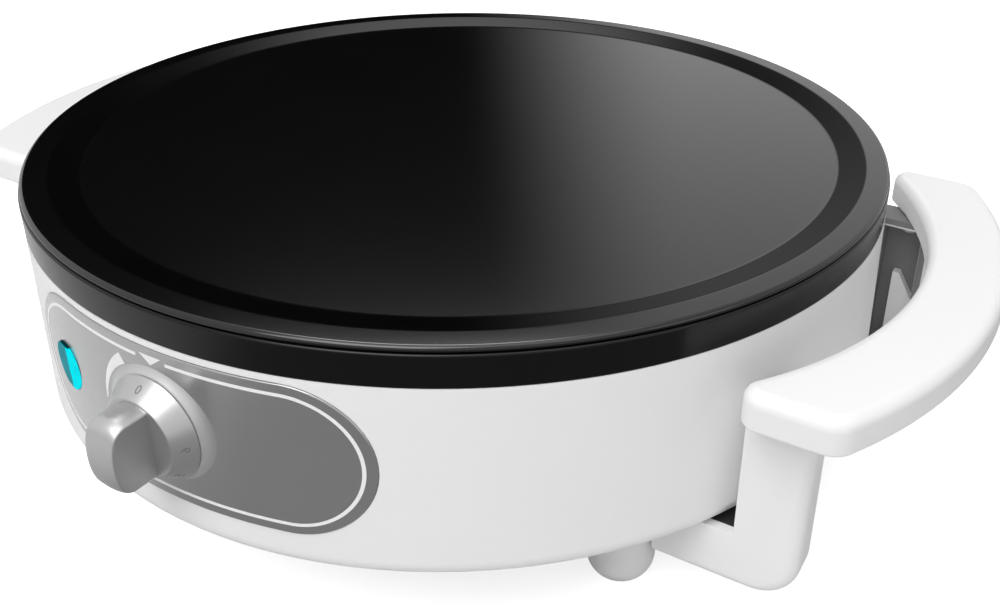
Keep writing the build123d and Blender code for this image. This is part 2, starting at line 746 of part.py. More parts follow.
def make_lens():
    """Round lens with two facets that meet in an upright ridge."""
    crown = -control_radius - lens_ridge
    lens = along_y(lens_radius, lens_seat, crown)
    for side in (-1, 1):
        cutter = Pos(0, crown, 0) * Rot(0, 0, side * lens_facet_angle)
        lens -= cutter * block(0, side * far_cut, -far_cut, 0, -far_cut, far_cut)
    flange_start = lens_seat + lens_flange_setback
    flange = along_y(lens_flange_radius, flange_start + lens_flange_thickness, flange_start)
    root = along_y(lens_radius, lens_seat - lens_root_sunk + lens_root_length, lens_seat - lens_root_sunk)
    return radial(lens_angle, control_height) * (lens + flange + root)


def make_lamp_holder():
    cup = along_y(lens_flange_radius, holder_seat, holder_seat + holder_depth)
    cup -= along_y(lens_flange_radius - holder_wall, holder_seat - overcut,
                   holder_seat + holder_depth - holder_floor)
    cup -= along_y(lamp_hole_radius, holder_seat + holder_depth / 2, holder_seat + holder_depth + overcut)
    return radial(lens_angle, control_height) * cup


def make_lamp():
    glass_start = holder_seat + lamp_radius + lamp_tip_gap
    bulb = along_y(lamp_radius, glass_start, holder_seat + lamp_glass_end)
    bulb += Pos(0, glass_start, 0) * Sphere(lamp_radius)
    stem = along_y(lamp_stem_radius, holder_seat + lamp_stem_start, holder_seat + lamp_stem_end)
    return radial(lens_angle, control_height) * (bulb + stem)


def make_thermostat_body():
    bottom = control_height - thermostat_height / 2
    box = block(-thermostat_width / 2, thermostat_width / 2, thermostat_face,
                thermostat_face + thermostat_depth, bottom, control_height + thermostat_height / 2)
    box = fillet(box.edges().filter_by(Axis.Y), thermostat_corner_round)
    box -= along_y(shaft_radius + thermostat_bore_clearance, thermostat_face - overcut,
                   thermostat_face + thermostat_depth * thermostat_bore_share, z=control_height)
    tab_start = thermostat_face + tab_setback
    for x in (-tab_offset, tab_offset):
        box += block(x - tab_width / 2, x + tab_width / 2, tab_start, tab_start + tab_thickness,
                     bottom - tab_drop, bottom + overcut)
    return box


def make_thermostat_bush():
    outer_end = panel_face - nut_seat_gap - nut_thickness - bush_end_proud
    bush = along_y(bush_radius, thermostat_face, outer_end, z=control_height)
    return bush - along_y(shaft_radius + shaft_fit, thermostat_face + overcut, outer_end - overcut,
                          z=control_height)


def make_thermostat_nut():
    hexagon = RegularPolygon(nut_across_flats / 2, 6, major_radius=False)
    nut = extrude(hexagon, amount=nut_thickness)
    nut -= rod(bush_radius + press_gap, -overcut, nut_thickness + overcut)
    return Pos(0, panel_face - nut_seat_gap, control_height) * Rot(90, 0, 0) * nut


# ---------------------------------------------------------------- heating and inner parts
def element_angles():
    """Angles, in degrees, where the heating ring starts and ends, either side of +X."""
    return element_gap_angle / 2, 360 - element_gap_angle / 2


def make_heating_element():
    start, end = element_angles()
    section = Pos(element_ring_radius, 0, plate_underside) * (Plane.XZ * Circle(element_radius))
    ring = Rot(0, 0, start) * revolve(section, Axis.Z, end - start)
    for angle in (start, end):
        x, y = polar(element_ring_radius, angle)
        ring += Pos(x, y, plate_underside) * Sphere(element_radius)
        ring += rod(element_radius, plate_underside - element_leg_length, plate_underside, x, y)
    return ring


def make_element_pins():
    """Cold pins at the ends of the element."""
    pins = []
    for angle in element_angles():
        x, y = polar(element_ring_radius, angle)
        top = plate_underside - element_leg_length
        pins.append(rod(element_pin_radius, top - element_pin_length, top, x, y))
    return Compound(children=pins)


def clamp_angles():
    return [360 / clamp_count * (i + 0.5) for i in range(clamp_count)]


def clamp_screw_places():
    half = clamp_width / 2 - clamp_end
    return [polar(element_ring_radius + side * half, angle) for angle in clamp_angles()
            for side in (-1, 1)]


def make_clamps():
    """Steel straps that hold the element in its groove."""
    half, drop = clamp_width / 2, element_radius + clamp_drop_gap
    tunnel_half = element_radius + clamp_side_gap
    bridge_half = tunnel_half + clamp_bridge_wall
    ring = element_ring_radius
    clamps = []
    for angle in clamp_angles():
        strap = block(ring - half, ring + half, -clamp_depth / 2, clamp_depth / 2,
                      plate_underside - clamp_thickness, plate_underside)
        bridge = block(ring - bridge_half, ring + bridge_half, -clamp_depth / 2, clamp_depth / 2,
                       plate_underside - drop - clamp_thickness, plate_underside)
        tunnel = block(ring - tunnel_half, ring + tunnel_half, -clamp_depth, clamp_depth,
                       plate_underside - drop, plate_underside + overcut)
        clamps.append(Rot(0, 0, angle) * (strap + bridge - tunnel))
    holes = [rod(small_screw_radius + clamp_hole_clearance, plate_underside - element_radius,
                 plate_underside + overcut, x, y) for x, y in clamp_screw_places()]
    return Compound(children=[clamp - holes for clamp in clamps])


def make_clamp_screws():
    top = plate_underside - clamp_thickness
    piece = screw(clamp_thickness + clamp_screw_grip, small_screw_radius, small_head_radius,
                  small_head_height)
    return Compound(children=[Pos(x, y, top) * piece for x, y in clamp_screw_places()])


def make_reflector():
    rim, floor, sheet = reflector_radius, reflector_floor, reflector_sheet
    flange_low = floor + reflector_rim
    dish = turned([
        (0, floor), (rim - reflector_slope, floor), (rim, flange_low), (rim + reflector_flange, flange_low),
        (rim + reflector_flange, flange_low + sheet), (rim - reflector_offset, flange_low + sheet),
        (rim - reflector_slope - reflector_offset, floor + sheet), (0, floor + sheet)])
    low, high = floor - overcut, floor + sheet + overcut
    for angle in post_angles:
        x, y = polar(post_ring_radius, angle)
        dish -= rod(post_radius + reflector_post_clearance, low, high, x, y)
    for angle in element_angles():
        x, y = polar(element_ring_radius, angle)
        dish -= rod(element_radius + reflector_hole_clearance, low, high, x, y)
    x, y = capillary_hole()
    return dish - rod(capillary_radius + reflector_hole_clearance, low, high, x, y)


def make_tie_posts():
    """Four stepped steel posts from the base towers to the plate, reflector on the step."""
    posts = []
    for angle in post_angles:
        x, y = polar(post_ring_radius, angle)
        post = rod(post_shoulder_radius, tower_top, reflector_floor, x, y)
        post += rod(post_radius, reflector_floor - overcut, plate_underside + plate_post_depth, x, y)
        post -= rod(screw_radius + press_gap, tower_top - overcut, tower_top + tie_screw_hole_depth, x, y)
        posts.append(post)
    return Compound(children=posts)


def make_push_nuts():
    low = reflector_floor + reflector_sheet
    nuts = []
    for angle in post_angles:
        x, y = polar(post_ring_radius, angle)
        nut = rod(push_nut_radius, low, low + push_nut_thickness, x, y)
        hole = rod(post_radius + press_gap, low - overcut, low + push_nut_thickness + overcut, x, y)
        nuts.append(nut - hole)
    return Compound(children=nuts)


def capillary_hole():
    return -bulb_length / 3, -post_ring_radius


def bulb_start():
    x, y = capillary_hole()
    return x + capillary_lead, y, plate_underside - bulb_radius - bulb_clearance


def make_sensor_bulb():
    x, y, z = bulb_start()
    return Pos(x + bulb_length / 2, y, z) * Rot(0, 90, 0) * Cylinder(bulb_radius, bulb_length)


def make_bulb_clips():
    """Two spring clips that press the bulb to the plate."""
    x, y, z = bulb_start()
    tunnel_half = bulb_radius + bulb_clip_gap
    saddle_half = tunnel_half + bulb_clip_wall
    foot_half = bulb_radius + bulb_clip_foot
    clips = []
    for offset in (bulb_clip_inset, bulb_length - bulb_clip_inset):
        start, end = x + offset - bulb_clip_length / 2, x + offset + bulb_clip_length / 2
        outer = block(start, end, y - foot_half, y + foot_half,
                      plate_underside - bulb_clip_foot_thickness, plate_underside)
        saddle = block(start, end, y - saddle_half, y + saddle_half, z - saddle_half, plate_underside)
        tunnel = block(start - overcut, end + overcut, y - tunnel_half, y + tunnel_half,
                       z - tunnel_half, plate_underside + overcut)
        clips.append(outer + saddle - tunnel)
    return Compound(children=clips)


def make_capillary():
    hole_x, hole_y = capillary_hole()
    x, y, z = bulb_start()
    back = thermostat_face + thermostat_depth
    exit_x, exit_drop = capillary_exit
    exit_z = control_height + exit_drop
    points = [(exit_x, back, exit_z), (exit_x, back + capillary_exit_length, exit_z),
              (hole_x, hole_y - capillary_approach, reflector_floor - capillary_turn_drop),
              (hole_x, hole_y, reflector_floor - capillary_rise_drop), (hole_x, hole_y, z), (x, y, z)]
    return tube(points, capillary_radius, capillary_bend)


def make_cord_gland():
    """Round bush in the rear wall, bored for the mains cord."""
    outer = gland_face + gland_seat_gap
    catch = gland_face - body_wall - gland_wall_gap
    inner = catch - gland_catch_end
    flange_end = outer + gland_flange_thickness
    gland = along_y(gland_radius, inner, flange_end, z=gland_height)
    gland += along_y(gland_flange_radius, outer, flange_end, z=gland_height)
    rim = [edge for edge in gland.edges().filter_by(GeomType.CIRCLE)
           if abs(edge.center().Y - flange_end) < same_place
           and abs(edge.radius - gland_flange_radius) < same_place]
    gland = fillet(rim, gland_rim_round)
    gland += along_y(gland_radius + gland_catch_width, inner, catch - gland_wall_gap, z=gland_height)
    return gland - along_y(gland_bore_radius, inner - long_cut, outer + long_cut, z=gland_height)


def make_terminal_block():
    top = cover_top + terminal_height
    body = block(-terminal_length / 2, terminal_length / 2, terminal_y - terminal_width / 2,
                 terminal_y + terminal_width / 2, cover_top, top)
    for way in terminal_ways:
        body -= rod(terminal_well_radius, cover_top + terminal_well_floor, top + overcut, way, terminal_y)
        body -= along_y(terminal_hole_radius, terminal_y - terminal_width, terminal_y + terminal_width,
                        x=way, z=terminal_hole_height)
    return body


def make_terminal_screws():
    bottom = terminal_hole_height + wire_radius + terminal_screw_gap
    top = cover_top + terminal_height - terminal_screw_sunk
    return Compound(children=[
        rod(terminal_screw_radius, bottom, top, way, terminal_y) for way in terminal_ways])


def make_thermal_fuse():
    return Pos(fuse_x, fuse_y, fuse_height) * Rot(0, 90, 0) * Cylinder(fuse_radius, fuse_length)


def cord_core(way, offset):
    """Short end of a cord core, from the gland to its terminal."""
    start = gland_face - body_wall - core_start
    return tube([(offset, start, gland_height), (offset, start - core_straight, gland_height),
                 (way, terminal_y + wire_tip + core_approach, terminal_hole_height),
                 (way, terminal_y + wire_tip, terminal_hole_height)],
                wire_radius * core_radius_share, core_bend)


def make_wires():
    """Inner wiring: cord cores, thermostat, element and fuse."""
    wires = [cord_core(way, i * core_pitch) for way, i in zip(terminal_ways, (-1, 0, 1))]
    first_way, last_way = terminal_ways[0], terminal_ways[-1]
    entry = terminal_hole_height
    front = terminal_y - wire_tip
    low = cover_top + wire_floor
    tab_z = control_height - thermostat_height / 2 - tab_wire_drop
    wires.append(tube(
        [(first_way, front, entry), (first_way, front - wire_approach, low)]
        + [(x, y, low) for x, y in thermostat_wire_route]
        + [(-tab_offset, tab_wire_y + tab_straight, tab_z), (-tab_offset, tab_wire_y, tab_z)],
        wire_radius, thermostat_wire_bend))
    pin_low = plate_underside - element_leg_length - element_pin_length - wire_end_gap
    start_angle, end_angle = element_angles()
    end_x, end_y = polar(element_ring_radius, end_angle)
    wires.append(tube(
        [(tab_offset, tab_wire_y, tab_z), (tab_offset, tab_wire_y + tab_straight, tab_z)]
        + [(x, y, low) for x, y in pin_wire_route]
        + [(end_x, end_y - pin_wire_side, low + pin_wire_side), (end_x, end_y, low + pin_wire_rise),
           (end_x, end_y, pin_low)],
        wire_radius, pin_wire_bend))
    start_x, start_y = polar(element_ring_radius, start_angle)
    half_fuse = fuse_length / 2
    wires.append(tube(
        [(start_x, start_y, pin_low), (start_x, start_y, pin_low - fuse_wire_drop),
         (start_x + fuse_wire_side, fuse_y - fuse_wire_reach, pin_low - fuse_wire_rise),
         (fuse_x + half_fuse + fuse_wire_straight, fuse_y, fuse_height),
         (fuse_x + half_fuse + wire_end_gap, fuse_y, fuse_height)],
        wire_radius, fuse_wire_bend))
    corner_x, corner_y, corner_z = fuse_lead_corner
    wires.append(tube(
        [(fuse_x - half_fuse - wire_end_gap, fuse_y, fuse_height),
         (fuse_x - half_fuse - fuse_lead_straight, fuse_y, fuse_height),
         (corner_x, front + corner_y, corner_z), (last_way, front - fuse_lead_approach, entry),
         (last_way, front, entry)],
        wire_radius, fuse_lead_bend))
    return Compound(children=wires)


def make_lamp_leads():
    """Two thin leads from the lamp, one to the thermostat and one to the terminal block."""
    entry = terminal_hole_height + wire_radius + lead_radius + lead_gap
    front = terminal_y - terminal_width / 2 + lead_tip
    last_way = terminal_ways[-1]
    tab_z = control_height - thermostat_height / 2 - tab_lead_drop
    low = cover_top + lead_floor
    reach = control_radius - body_wall - lead_inside
    long_start, short_start = [polar(reach, lens_angle + turn) for turn in (-lead_spread, lead_spread)]
    step_x, step_y = lead_first_step
    turn_x, turn_y = short_lead_turn
    short_lead = tube(
        [(*short_start, control_height), (short_start[0] + step_x, short_start[1] + step_y, control_height),
         (turn_x, tab_wire_y + turn_y, tab_z), (tab_offset, tab_wire_y + short_lead_approach, tab_z),
         (tab_offset, tab_wire_y, tab_z)],
        lead_radius, short_lead_bend)
    corner_x, corner_y = long_lead_last_corner
    rise_x, rise_y = long_lead_rise
    long_lead = tube(
        [(*long_start, control_height), (long_start[0] + step_x, long_start[1] + step_y, control_height)]
        + [(x, y, low) for x, y in long_lead_route]
        + [(corner_x, front + corner_y, low), (rise_x, front + rise_y, cover_top + long_lead_rise_height),
           (last_way, front - long_lead_approach, entry), (last_way, front, entry)],
        lead_radius, long_lead_bend)
    return Compound(children=[short_lead, long_lead])


# ---------------------------------------------------------------- screws that hold the casing
def make_base_screws():
    piece = screw(base_boss_height - base_screw_spare)
    return Compound(children=[
        Pos(*polar(base_screw_radius, angle), base_height) * piece for angle in base_screw_angles()])


def make_tie_screws():
    seat = tower_top - tower_seat_depth
    piece = screw(tie_screw_length)
    return Compound(children=[
        Pos(*polar(post_ring_radius, angle), seat) * piece for angle in post_angles])


def make_foot_screws():
    piece = Rot(180, 0, 0) * screw(foot_screw_length - foot_screw_spare)
    return Compound(children=[
        Pos(side_x * foot_reach_x, side_y * foot_reach_y, cover_top) * piece
        for side_x, side_y in quadrants])


def make_arm_screws():
    piece = screw(leg_wall + arm_screw_grip)
    return Compound(children=[
        Pos(side_x * reach, side_y * arm_screw_y(), arm_bottom_height) * piece
        for side_x, side_y in quadrants for reach in arm_screw_reaches])


def make_grip_screws():
    piece = screw(leg_wall + grip_screw_grip)
    return Compound(children=[
        Pos(side_x * grip_screw_reach, side_y * grip_screw_y(), grip_bottom - leg_wall) * piece
        for side_x, side_y in quadrants])


# ---------------------------------------------------------------- build and write
def build_parts():
    corner_names = {
        (1, 1): "right_rear", (-1, 1): "left_rear", (-1, -1): "left_front", (1, -1): "right_front"}
    grip, leg, foot, pad = make_grip(), make_leg(), make_foot(), make_foot_pad()
    parts = {
        "cooking_plate": make_cooking_plate(),
        "plate_collar": make_plate_collar(),
        "body_shell": make_body_shell(),
        "base_cover": make_base_cover(),
        "control_panel": make_control_panel(),
        "control_knob": make_knob(),
        "thermostat_shaft": make_shaft(),
        "thermostat_bush": make_thermostat_bush(),
        "thermostat_nut": make_thermostat_nut(),
        "thermostat_body": make_thermostat_body(),
        "capillary_tube": make_capillary(),
        "sensor_bulb": make_sensor_bulb(),
        "bulb_clips": make_bulb_clips(),
        "indicator_lens": make_lens(),
        "lamp_holder": make_lamp_holder(),
        "indicator_lamp": make_lamp(),
        "heating_element": make_heating_element(),
        "element_pins": make_element_pins(),
        "element_clamps": make_clamps(),
        "clamp_screws": make_clamp_screws(),
        "heat_reflector": make_reflector(),
        "tie_posts": make_tie_posts(),
        "reflector_push_nuts": make_push_nuts(),
        "cord_gland": make_cord_gland(),
        "terminal_block": make_terminal_block(),
        "terminal_screws": make_terminal_screws(),
        "thermal_fuse": make_thermal_fuse(),
        "inner_wires": make_wires(),
        "lamp_leads": make_lamp_leads(),
        "base_screws": make_base_screws(),
        "tie_screws": make_tie_screws(),
        "foot_screws": make_foot_screws(),
        "arm_screws": make_arm_screws(),
        "grip_screws": make_grip_screws(),
        "handle_grip_right": grip,
        "handle_grip_left": mirror(grip, about=Plane.YZ),
    }
    for quadrant in quadrants:
        name = corner_names[quadrant]
        parts["handle_leg_" + name] = to_quadrant(leg, *quadrant)
        parts["foot_" + name] = to_quadrant(foot, *quadrant)
        parts["foot_pad_" + name] = to_quadrant(pad, *quadrant)
    return parts


def main():
    os.makedirs("parts", exist_ok=True)
    for name, solid in build_parts().items():
        export_step(solid, os.path.join("parts", name + ".step"))


main()
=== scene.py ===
from math import atan2, cos, pi, radians, sin, sqrt

import bmesh
import bpy
from mathutils import Matrix, Vector


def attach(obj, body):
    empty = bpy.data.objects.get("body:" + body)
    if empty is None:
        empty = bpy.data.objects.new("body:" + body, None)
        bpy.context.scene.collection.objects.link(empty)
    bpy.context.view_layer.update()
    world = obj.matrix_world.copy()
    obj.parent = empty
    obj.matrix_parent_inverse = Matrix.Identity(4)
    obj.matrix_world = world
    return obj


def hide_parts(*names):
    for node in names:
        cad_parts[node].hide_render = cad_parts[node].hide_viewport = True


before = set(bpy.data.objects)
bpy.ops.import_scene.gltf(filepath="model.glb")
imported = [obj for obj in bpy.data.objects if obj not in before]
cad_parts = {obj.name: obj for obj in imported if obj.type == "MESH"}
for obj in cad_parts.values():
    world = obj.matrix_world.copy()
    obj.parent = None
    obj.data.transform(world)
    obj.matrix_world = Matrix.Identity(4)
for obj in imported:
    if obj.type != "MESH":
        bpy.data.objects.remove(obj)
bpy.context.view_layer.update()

# Electric crepe maker: finishes, mesh pieces, camera and studio.
# Sizes are in millimetres, as in the part, and go to metres when a piece is finished.
# Heights are above the table and radii are from the drum's axis, unless a line says otherwise.
MM = 0.001
turn_steps = 256              # of a full turn, for the plate and collar
merge_distance = 0.001        # points that lie closer become one
cut_tolerance = 0.0001
edge_tolerance = 0.01         # for picking edges by their place

# Cooking plate
plate_radius = 150.0
plate_underside = 102.6
lip_bottom = 108.5
lip_round = 0.15
rim_top = 110.0
rim_inner_radius = 142.2
rim_outer_round = 1.3
rim_inner_round = 0.7
cooking_radius = 132.6
cooking_height = 107.6
cooking_edge_round = 0.9
skirt_inner_radius, skirt_outer_radius = 137.9, 146.9    # ring that drops in the collar
skirt_bottom = 101.0
bed_inner_radius, bed_outer_radius = 87.9, 96.1          # groove for the heating element
bed_top = 106.7
bed_round = 4.0

# Collar between plate and drum
collar_radius = 150.5
collar_top = 108.0
collar_bore_radius = 147.3
collar_bottom_round, collar_top_round, collar_bore_round = 0.35, 0.8, 0.3
ledge_inner_radius = 140.8    # carries the plate's skirt
spigot_inner_radius, spigot_outer_radius = 139.9, 142.3  # ring that drops in the drum
spigot_top, spigot_bottom = 99.0, 92.0

# Drum
body_top = 98.0
base_height = 35.4
body_height = 62.6
body_top_radius = 150.6
body_bottom_radius = 152.3

# Control panel on the front of the drum
control_height = 72.0         # axes of the knob and the lens
control_radius = 151.3        # drum at that height
panel_half_width = 63.0       # seen from the front
panel_height = 47.8
panel_proud = 0.4             # of the drum
panel_thickness = 1.3
panel_edge_round = 0.35
panel_segments = 96           # of its two round ends
panel_slices = range(-60, 61, 3)    # places where flat shapes are cut, so that they bend well
bush_hole_radius = 5.2
hole_start, hole_end = 100, 170     # reach of the panel's holes from the drum's axis

# Prints on the panel, placed from the knob's axis
print_proud = 0.03
print_sunk = 0.02
border_inset = 2.7
border_width = 1.0
border_gap = 5.4              # half the opening above the knob
pointer_half_width = 4
pointer_top, pointer_tip = 21.9, 19.0
pointer_slices = (-2, 0, 2)
mark_outer_radius = 22.5
mark_inner_radius = 21.9      # at the narrow end
mark_widening = 2.9
mark_angle = radians(55)
mark_steps = 22

# Knob, from its own axis and from the open side of its skirt
knob_base = 153.0             # open side of the skirt, from the drum's axis
knob_base_radius = 16.4
knob_face_radius = 12.2
knob_skirt_height = 5.8
knob_cavity_radius = 10.4
knob_cavity_depth = 4.2
knob_cavity_round, knob_base_round, knob_face_round = 0.3, 0.35, 0.3
knob_steps = 128
shaft_hole_radius = 3.05
shaft_hole_bottom, shaft_hole_top = -1, 13
bar_reach = 11.3              # above and below the axis
bar_width = 10.4
bar_shoulder = 15.6
bar_tip = 18.9
bar_sunk = 1.2                # into the skirt
bar_tip_round, bar_shoulder_round, bar_edge_round = 7.6, 3.2, 0.45
bar_plan_radius = 11.9
bar_slices = range(-4, 5)
number_count = 7
number_size = 3.6
number_pitch = 45             # degrees

# Satin ring behind the knob, painted lighter than the panel as a painted reflection of the knob's
# glow; placed from the open side of the knob's skirt
seat_radius = 16.3
seat_foot_radius = 21.6
seat_hole_radius = 5.3
seat_top, seat_foot = -0.15, -2.95
seat_thickness = 0.3          # under the foot
seat_edge_round = 0.5
seat_steps = 8

# Lamp's lens and seal; heights are from the drum's surface
lens_angle = radians(-107.04)
lens_radius = 7.6
lens_hole_gap = 0.2
lens_back, lens_front = -4, 6       # of the blank that the facets are cut from
lens_ridge = 1.15
lens_ridge_offset = 1.6       # from the lens's middle towards the knob
lens_facet_angles = radians(3.2), radians(8)    # away from the knob, towards it
lens_hip_start = 6.9          # end of the ridge, above and below the lens's middle
lens_hip_normal = 0.9         # height of the hip's normal for a reach of 1
lens_edge_round = 0.12
lens_crown_start = -1.0       # the edges that are rounded lie above this
lens_least_edge = 1.2         # and are longer than this
lens_blend = 0.3              # width over which the facets' painted light and painted shade meet
seal_inner_radius, seal_outer_radius = 6.9, 7.78
seal_bottom, seal_top = -1.0, 0.25
seal_steps = 96

# Dark liners in the hollows of the legs, as painted shade, at the right and rear; the others are
# their mirrors
tray_left, tray_right = 139.7, 158.6
tray_mouth, tray_back = 61.6, 70.9
tray_bottom, tray_top = 26.5, 82.1
tray_wall = 3.2
tray_floor = 0.4
cap_back = 73.6               # cap on the leg's outer face
cap_overlap = 1.0
cap_right_gap = 4.0
cap_bottom_drop, cap_top_drop = 0.6, 0.01

# Finishes
noise_low, noise_high = 0.3, 0.7    # most of a noise lies between these
panel_colour = (0.36, 0.36, 0.364)
panel_metallic = 0.75
panel_coat, panel_coat_roughness = 1.0, 0.22

# Camera and studio; lengths in metres and angles in degrees
camera_focal = 1050.0         # in pixels of a picture 1000 wide
camera_azimuth = 26.7
camera_elevation = 26.8
camera_roll = 2.36
camera_side = 0.0508          # to the right in the picture
camera_lift = 0.0692          # above the table
camera_distance = 0.4065      # back from the object
camera_shift = (-0.108, -0.08)
picture_width = 1000.0        # in pixels
sensor_width = 36.0
aim_point = (0, 0, 0.06)      # what the lamps and cards face
fill_strength = 0.4
floor_glow = 0.75
floor_card_height = 0.0004
floor_half_width = 6.0


# ---------------------------------------------------------------- nodes of a material
def shader_of(name):
    """New material, with its node tree and Principled shader."""
    material = bpy.data.materials.new(name)
    material.use_nodes = True
    return material, material.node_tree, material.node_tree.nodes["Principled BSDF"]


def noise_on(tree, scale, detail=2.0, stretch=(1, 1, 1)):
    """Noise over the piece's own coordinates, in features per metre."""
    place = tree.nodes.new("ShaderNodeTexCoord")
    spread = tree.nodes.new("ShaderNodeMapping")
    spread.inputs["Scale"].default_value = stretch
    noise = tree.nodes.new("ShaderNodeTexNoise")
    noise.inputs["Scale"].default_value = scale
    noise.inputs["Detail"].default_value = detail
    tree.links.new(place.outputs["Object"], spread.inputs["Vector"])
    tree.links.new(spread.outputs["Vector"], noise.inputs["Vector"])
    return noise.outputs["Fac"]


def ramp_over(tree, value, start, end, low=0.0, high=1.0, curve="SMOOTHSTEP"):
    """Number that runs from low to high as a value goes from start to end."""
    ramp = tree.nodes.new("ShaderNodeMapRange")
    ramp.interpolation_type = curve
    ramp.inputs["From Min"].default_value = start
    ramp.inputs["From Max"].default_value = end
    ramp.inputs["To Min"].default_value = low
    ramp.inputs["To Max"].default_value = high
    tree.links.new(value, ramp.inputs["Value"])
    return ramp.outputs["Result"]


def between(tree, noise, low, high):
    """Number that runs from low to high with a noise."""
    return ramp_over(tree, noise, noise_low, noise_high, low, high, "LINEAR")


def colour_between(tree, noise, low, high):
    """Colour that runs from low to high with a noise."""
    ramp = tree.nodes.new("ShaderNodeValToRGB")
    for stop, place, colour in zip(ramp.color_ramp.elements, (noise_low, noise_high), (low, high)):
        stop.position = place
        stop.color = (*colour, 1)
    tree.links.new(noise, ramp.inputs["Fac"])
    return ramp.outputs["Color"]


def bump_of(tree, factor, depth, distance):
    """Surface relief from a factor; distance is in metres."""
    bump = tree.nodes.new("ShaderNodeBump")
    bump.inputs["Strength"].default_value = depth
    bump.inputs["Distance"].default_value = distance
    tree.links.new(factor, bump.inputs["Height"])
    return bump.outputs["Normal"]


def arithmetic(tree, operation, first, second):
    """Result of a sum on two node outputs."""
    node = tree.nodes.new("ShaderNodeMath")
    node.operation = operation
    tree.links.new(first, node.inputs[0])
    tree.links.new(second, node.inputs[1])
    return node.outputs[0]


def vector_step(tree, operation, vector, constant=None):
    """Node that works on a vector, with a constant vector where it needs one."""
    node = tree.nodes.new("ShaderNodeVectorMath")
    node.operation = operation
    tree.links.new(vector, node.inputs[0])
    if constant:
        node.inputs[1].default_value = constant
    return node


def distance_along(tree, direction):
    """How far a point of the piece lies along a direction, in metres."""
    place = tree.nodes.new("ShaderNodeTexCoord").outputs["Object"]
    return vector_step(tree, "DOT_PRODUCT", place, direction).outputs["Value"]


def distance_about(tree, centre, plane):
    """How far a point lies from a centre in a plane, which has a 1 for each of its two axes."""
    place = tree.nodes.new("ShaderNodeTexCoord").outputs["Object"]
    centred = vector_step(tree, "SUBTRACT", place, centre).outputs["Vector"]
    flat = vector_step(tree, "MULTIPLY", centred, plane).outputs["Vector"]
    return vector_step(tree, "LENGTH", flat).outputs["Value"]


def mix_colours(tree, factor, first, second):
    """Colour that runs from the first to the second; the second may be a plain colour."""
    first_input, second_input, colour_output = 6, 7, 2    # sockets of the node for colours
    blend = tree.nodes.new("ShaderNodeMix")
    blend.data_type = "RGBA"
    tree.links.new(factor, blend.inputs[0])
    tree.links.new(first, blend.inputs[first_input])
    if isinstance(second, tuple):
        blend.inputs[second_input].default_value = (*second, 1)
    else:
        tree.links.new(second, blend.inputs[second_input])
    return blend.outputs[colour_output]


# ---------------------------------------------------------------- finishes
def make_finish(name, colour, roughness, shift=0.04, rough_shift=0.06, metallic=0.0, cloud=30.0,
                grain=1500.0, depth=0.1, distance=0.00003, stretch=(1, 1, 1), coat=0.0,
                coat_roughness=0.1, specular=0.5):
    """Plain finish with a soft colour drift, uneven gloss and a fine grain.

    The colour strays by the share shift over features of size cloud, the roughness by rough_shift
    over those of size grain; sizes are in features per metre.
    """
    material, tree, shader = shader_of(name)
    drift = noise_on(tree, cloud, 3.0)
    grains = noise_on(tree, grain, 2.0, stretch)
    low = [c * (1 - shift) for c in colour]
    high = [min(1.0, c * (1 + shift)) for c in colour]
    gloss = between(tree, grains, roughness - rough_shift, roughness + rough_shift)
    link = tree.links.new
    link(colour_between(tree, drift, low, high), shader.inputs["Base Color"])
    link(gloss, shader.inputs["Roughness"])
    link(bump_of(tree, grains, depth, distance), shader.inputs["Normal"])
    shader.inputs["Metallic"].default_value = metallic
    shader.inputs["Coat Weight"].default_value = coat
    shader.inputs["Coat Roughness"].default_value = coat_roughness
    shader.inputs["Specular IOR Level"].default_value = specular
    return material


def grey(value):
    """Colour without a tint."""
    return (value, value, value)


def make_plate_finish():
    """Glossy non-stick coating, thinner and duller on the sloped band inside the rim."""
    coating_specular, band_specular = 0.5, 0.028
    band_inner_blend, band_outer_blend = (-0.4, 0.6), (-0.5, 0.5)
    material = make_finish("plate_coating", (0.002, 0.002, 0.0021), 0.14, shift=0.15,
                           rough_shift=0.02, grain=2600, depth=0.04, distance=0.00002)
    tree = material.node_tree
    radius = distance_about(tree, (0, 0, 0), (1, 1, 0))
    inner_start, inner_end = [(cooking_radius + blend) * MM for blend in band_inner_blend]
    outer_start, outer_end = [(rim_inner_radius + blend) * MM for blend in band_outer_blend]
    inside = ramp_over(tree, radius, inner_start, inner_end)
    outside = ramp_over(tree, radius, outer_start, outer_end, 1, 0)
    band = arithmetic(tree, "MULTIPLY", inside, outside)
    tree.links.new(ramp_over(tree, band, 0, 1, coating_specular, band_specular),
                   tree.nodes["Principled BSDF"].inputs["Specular IOR Level"])
    return material


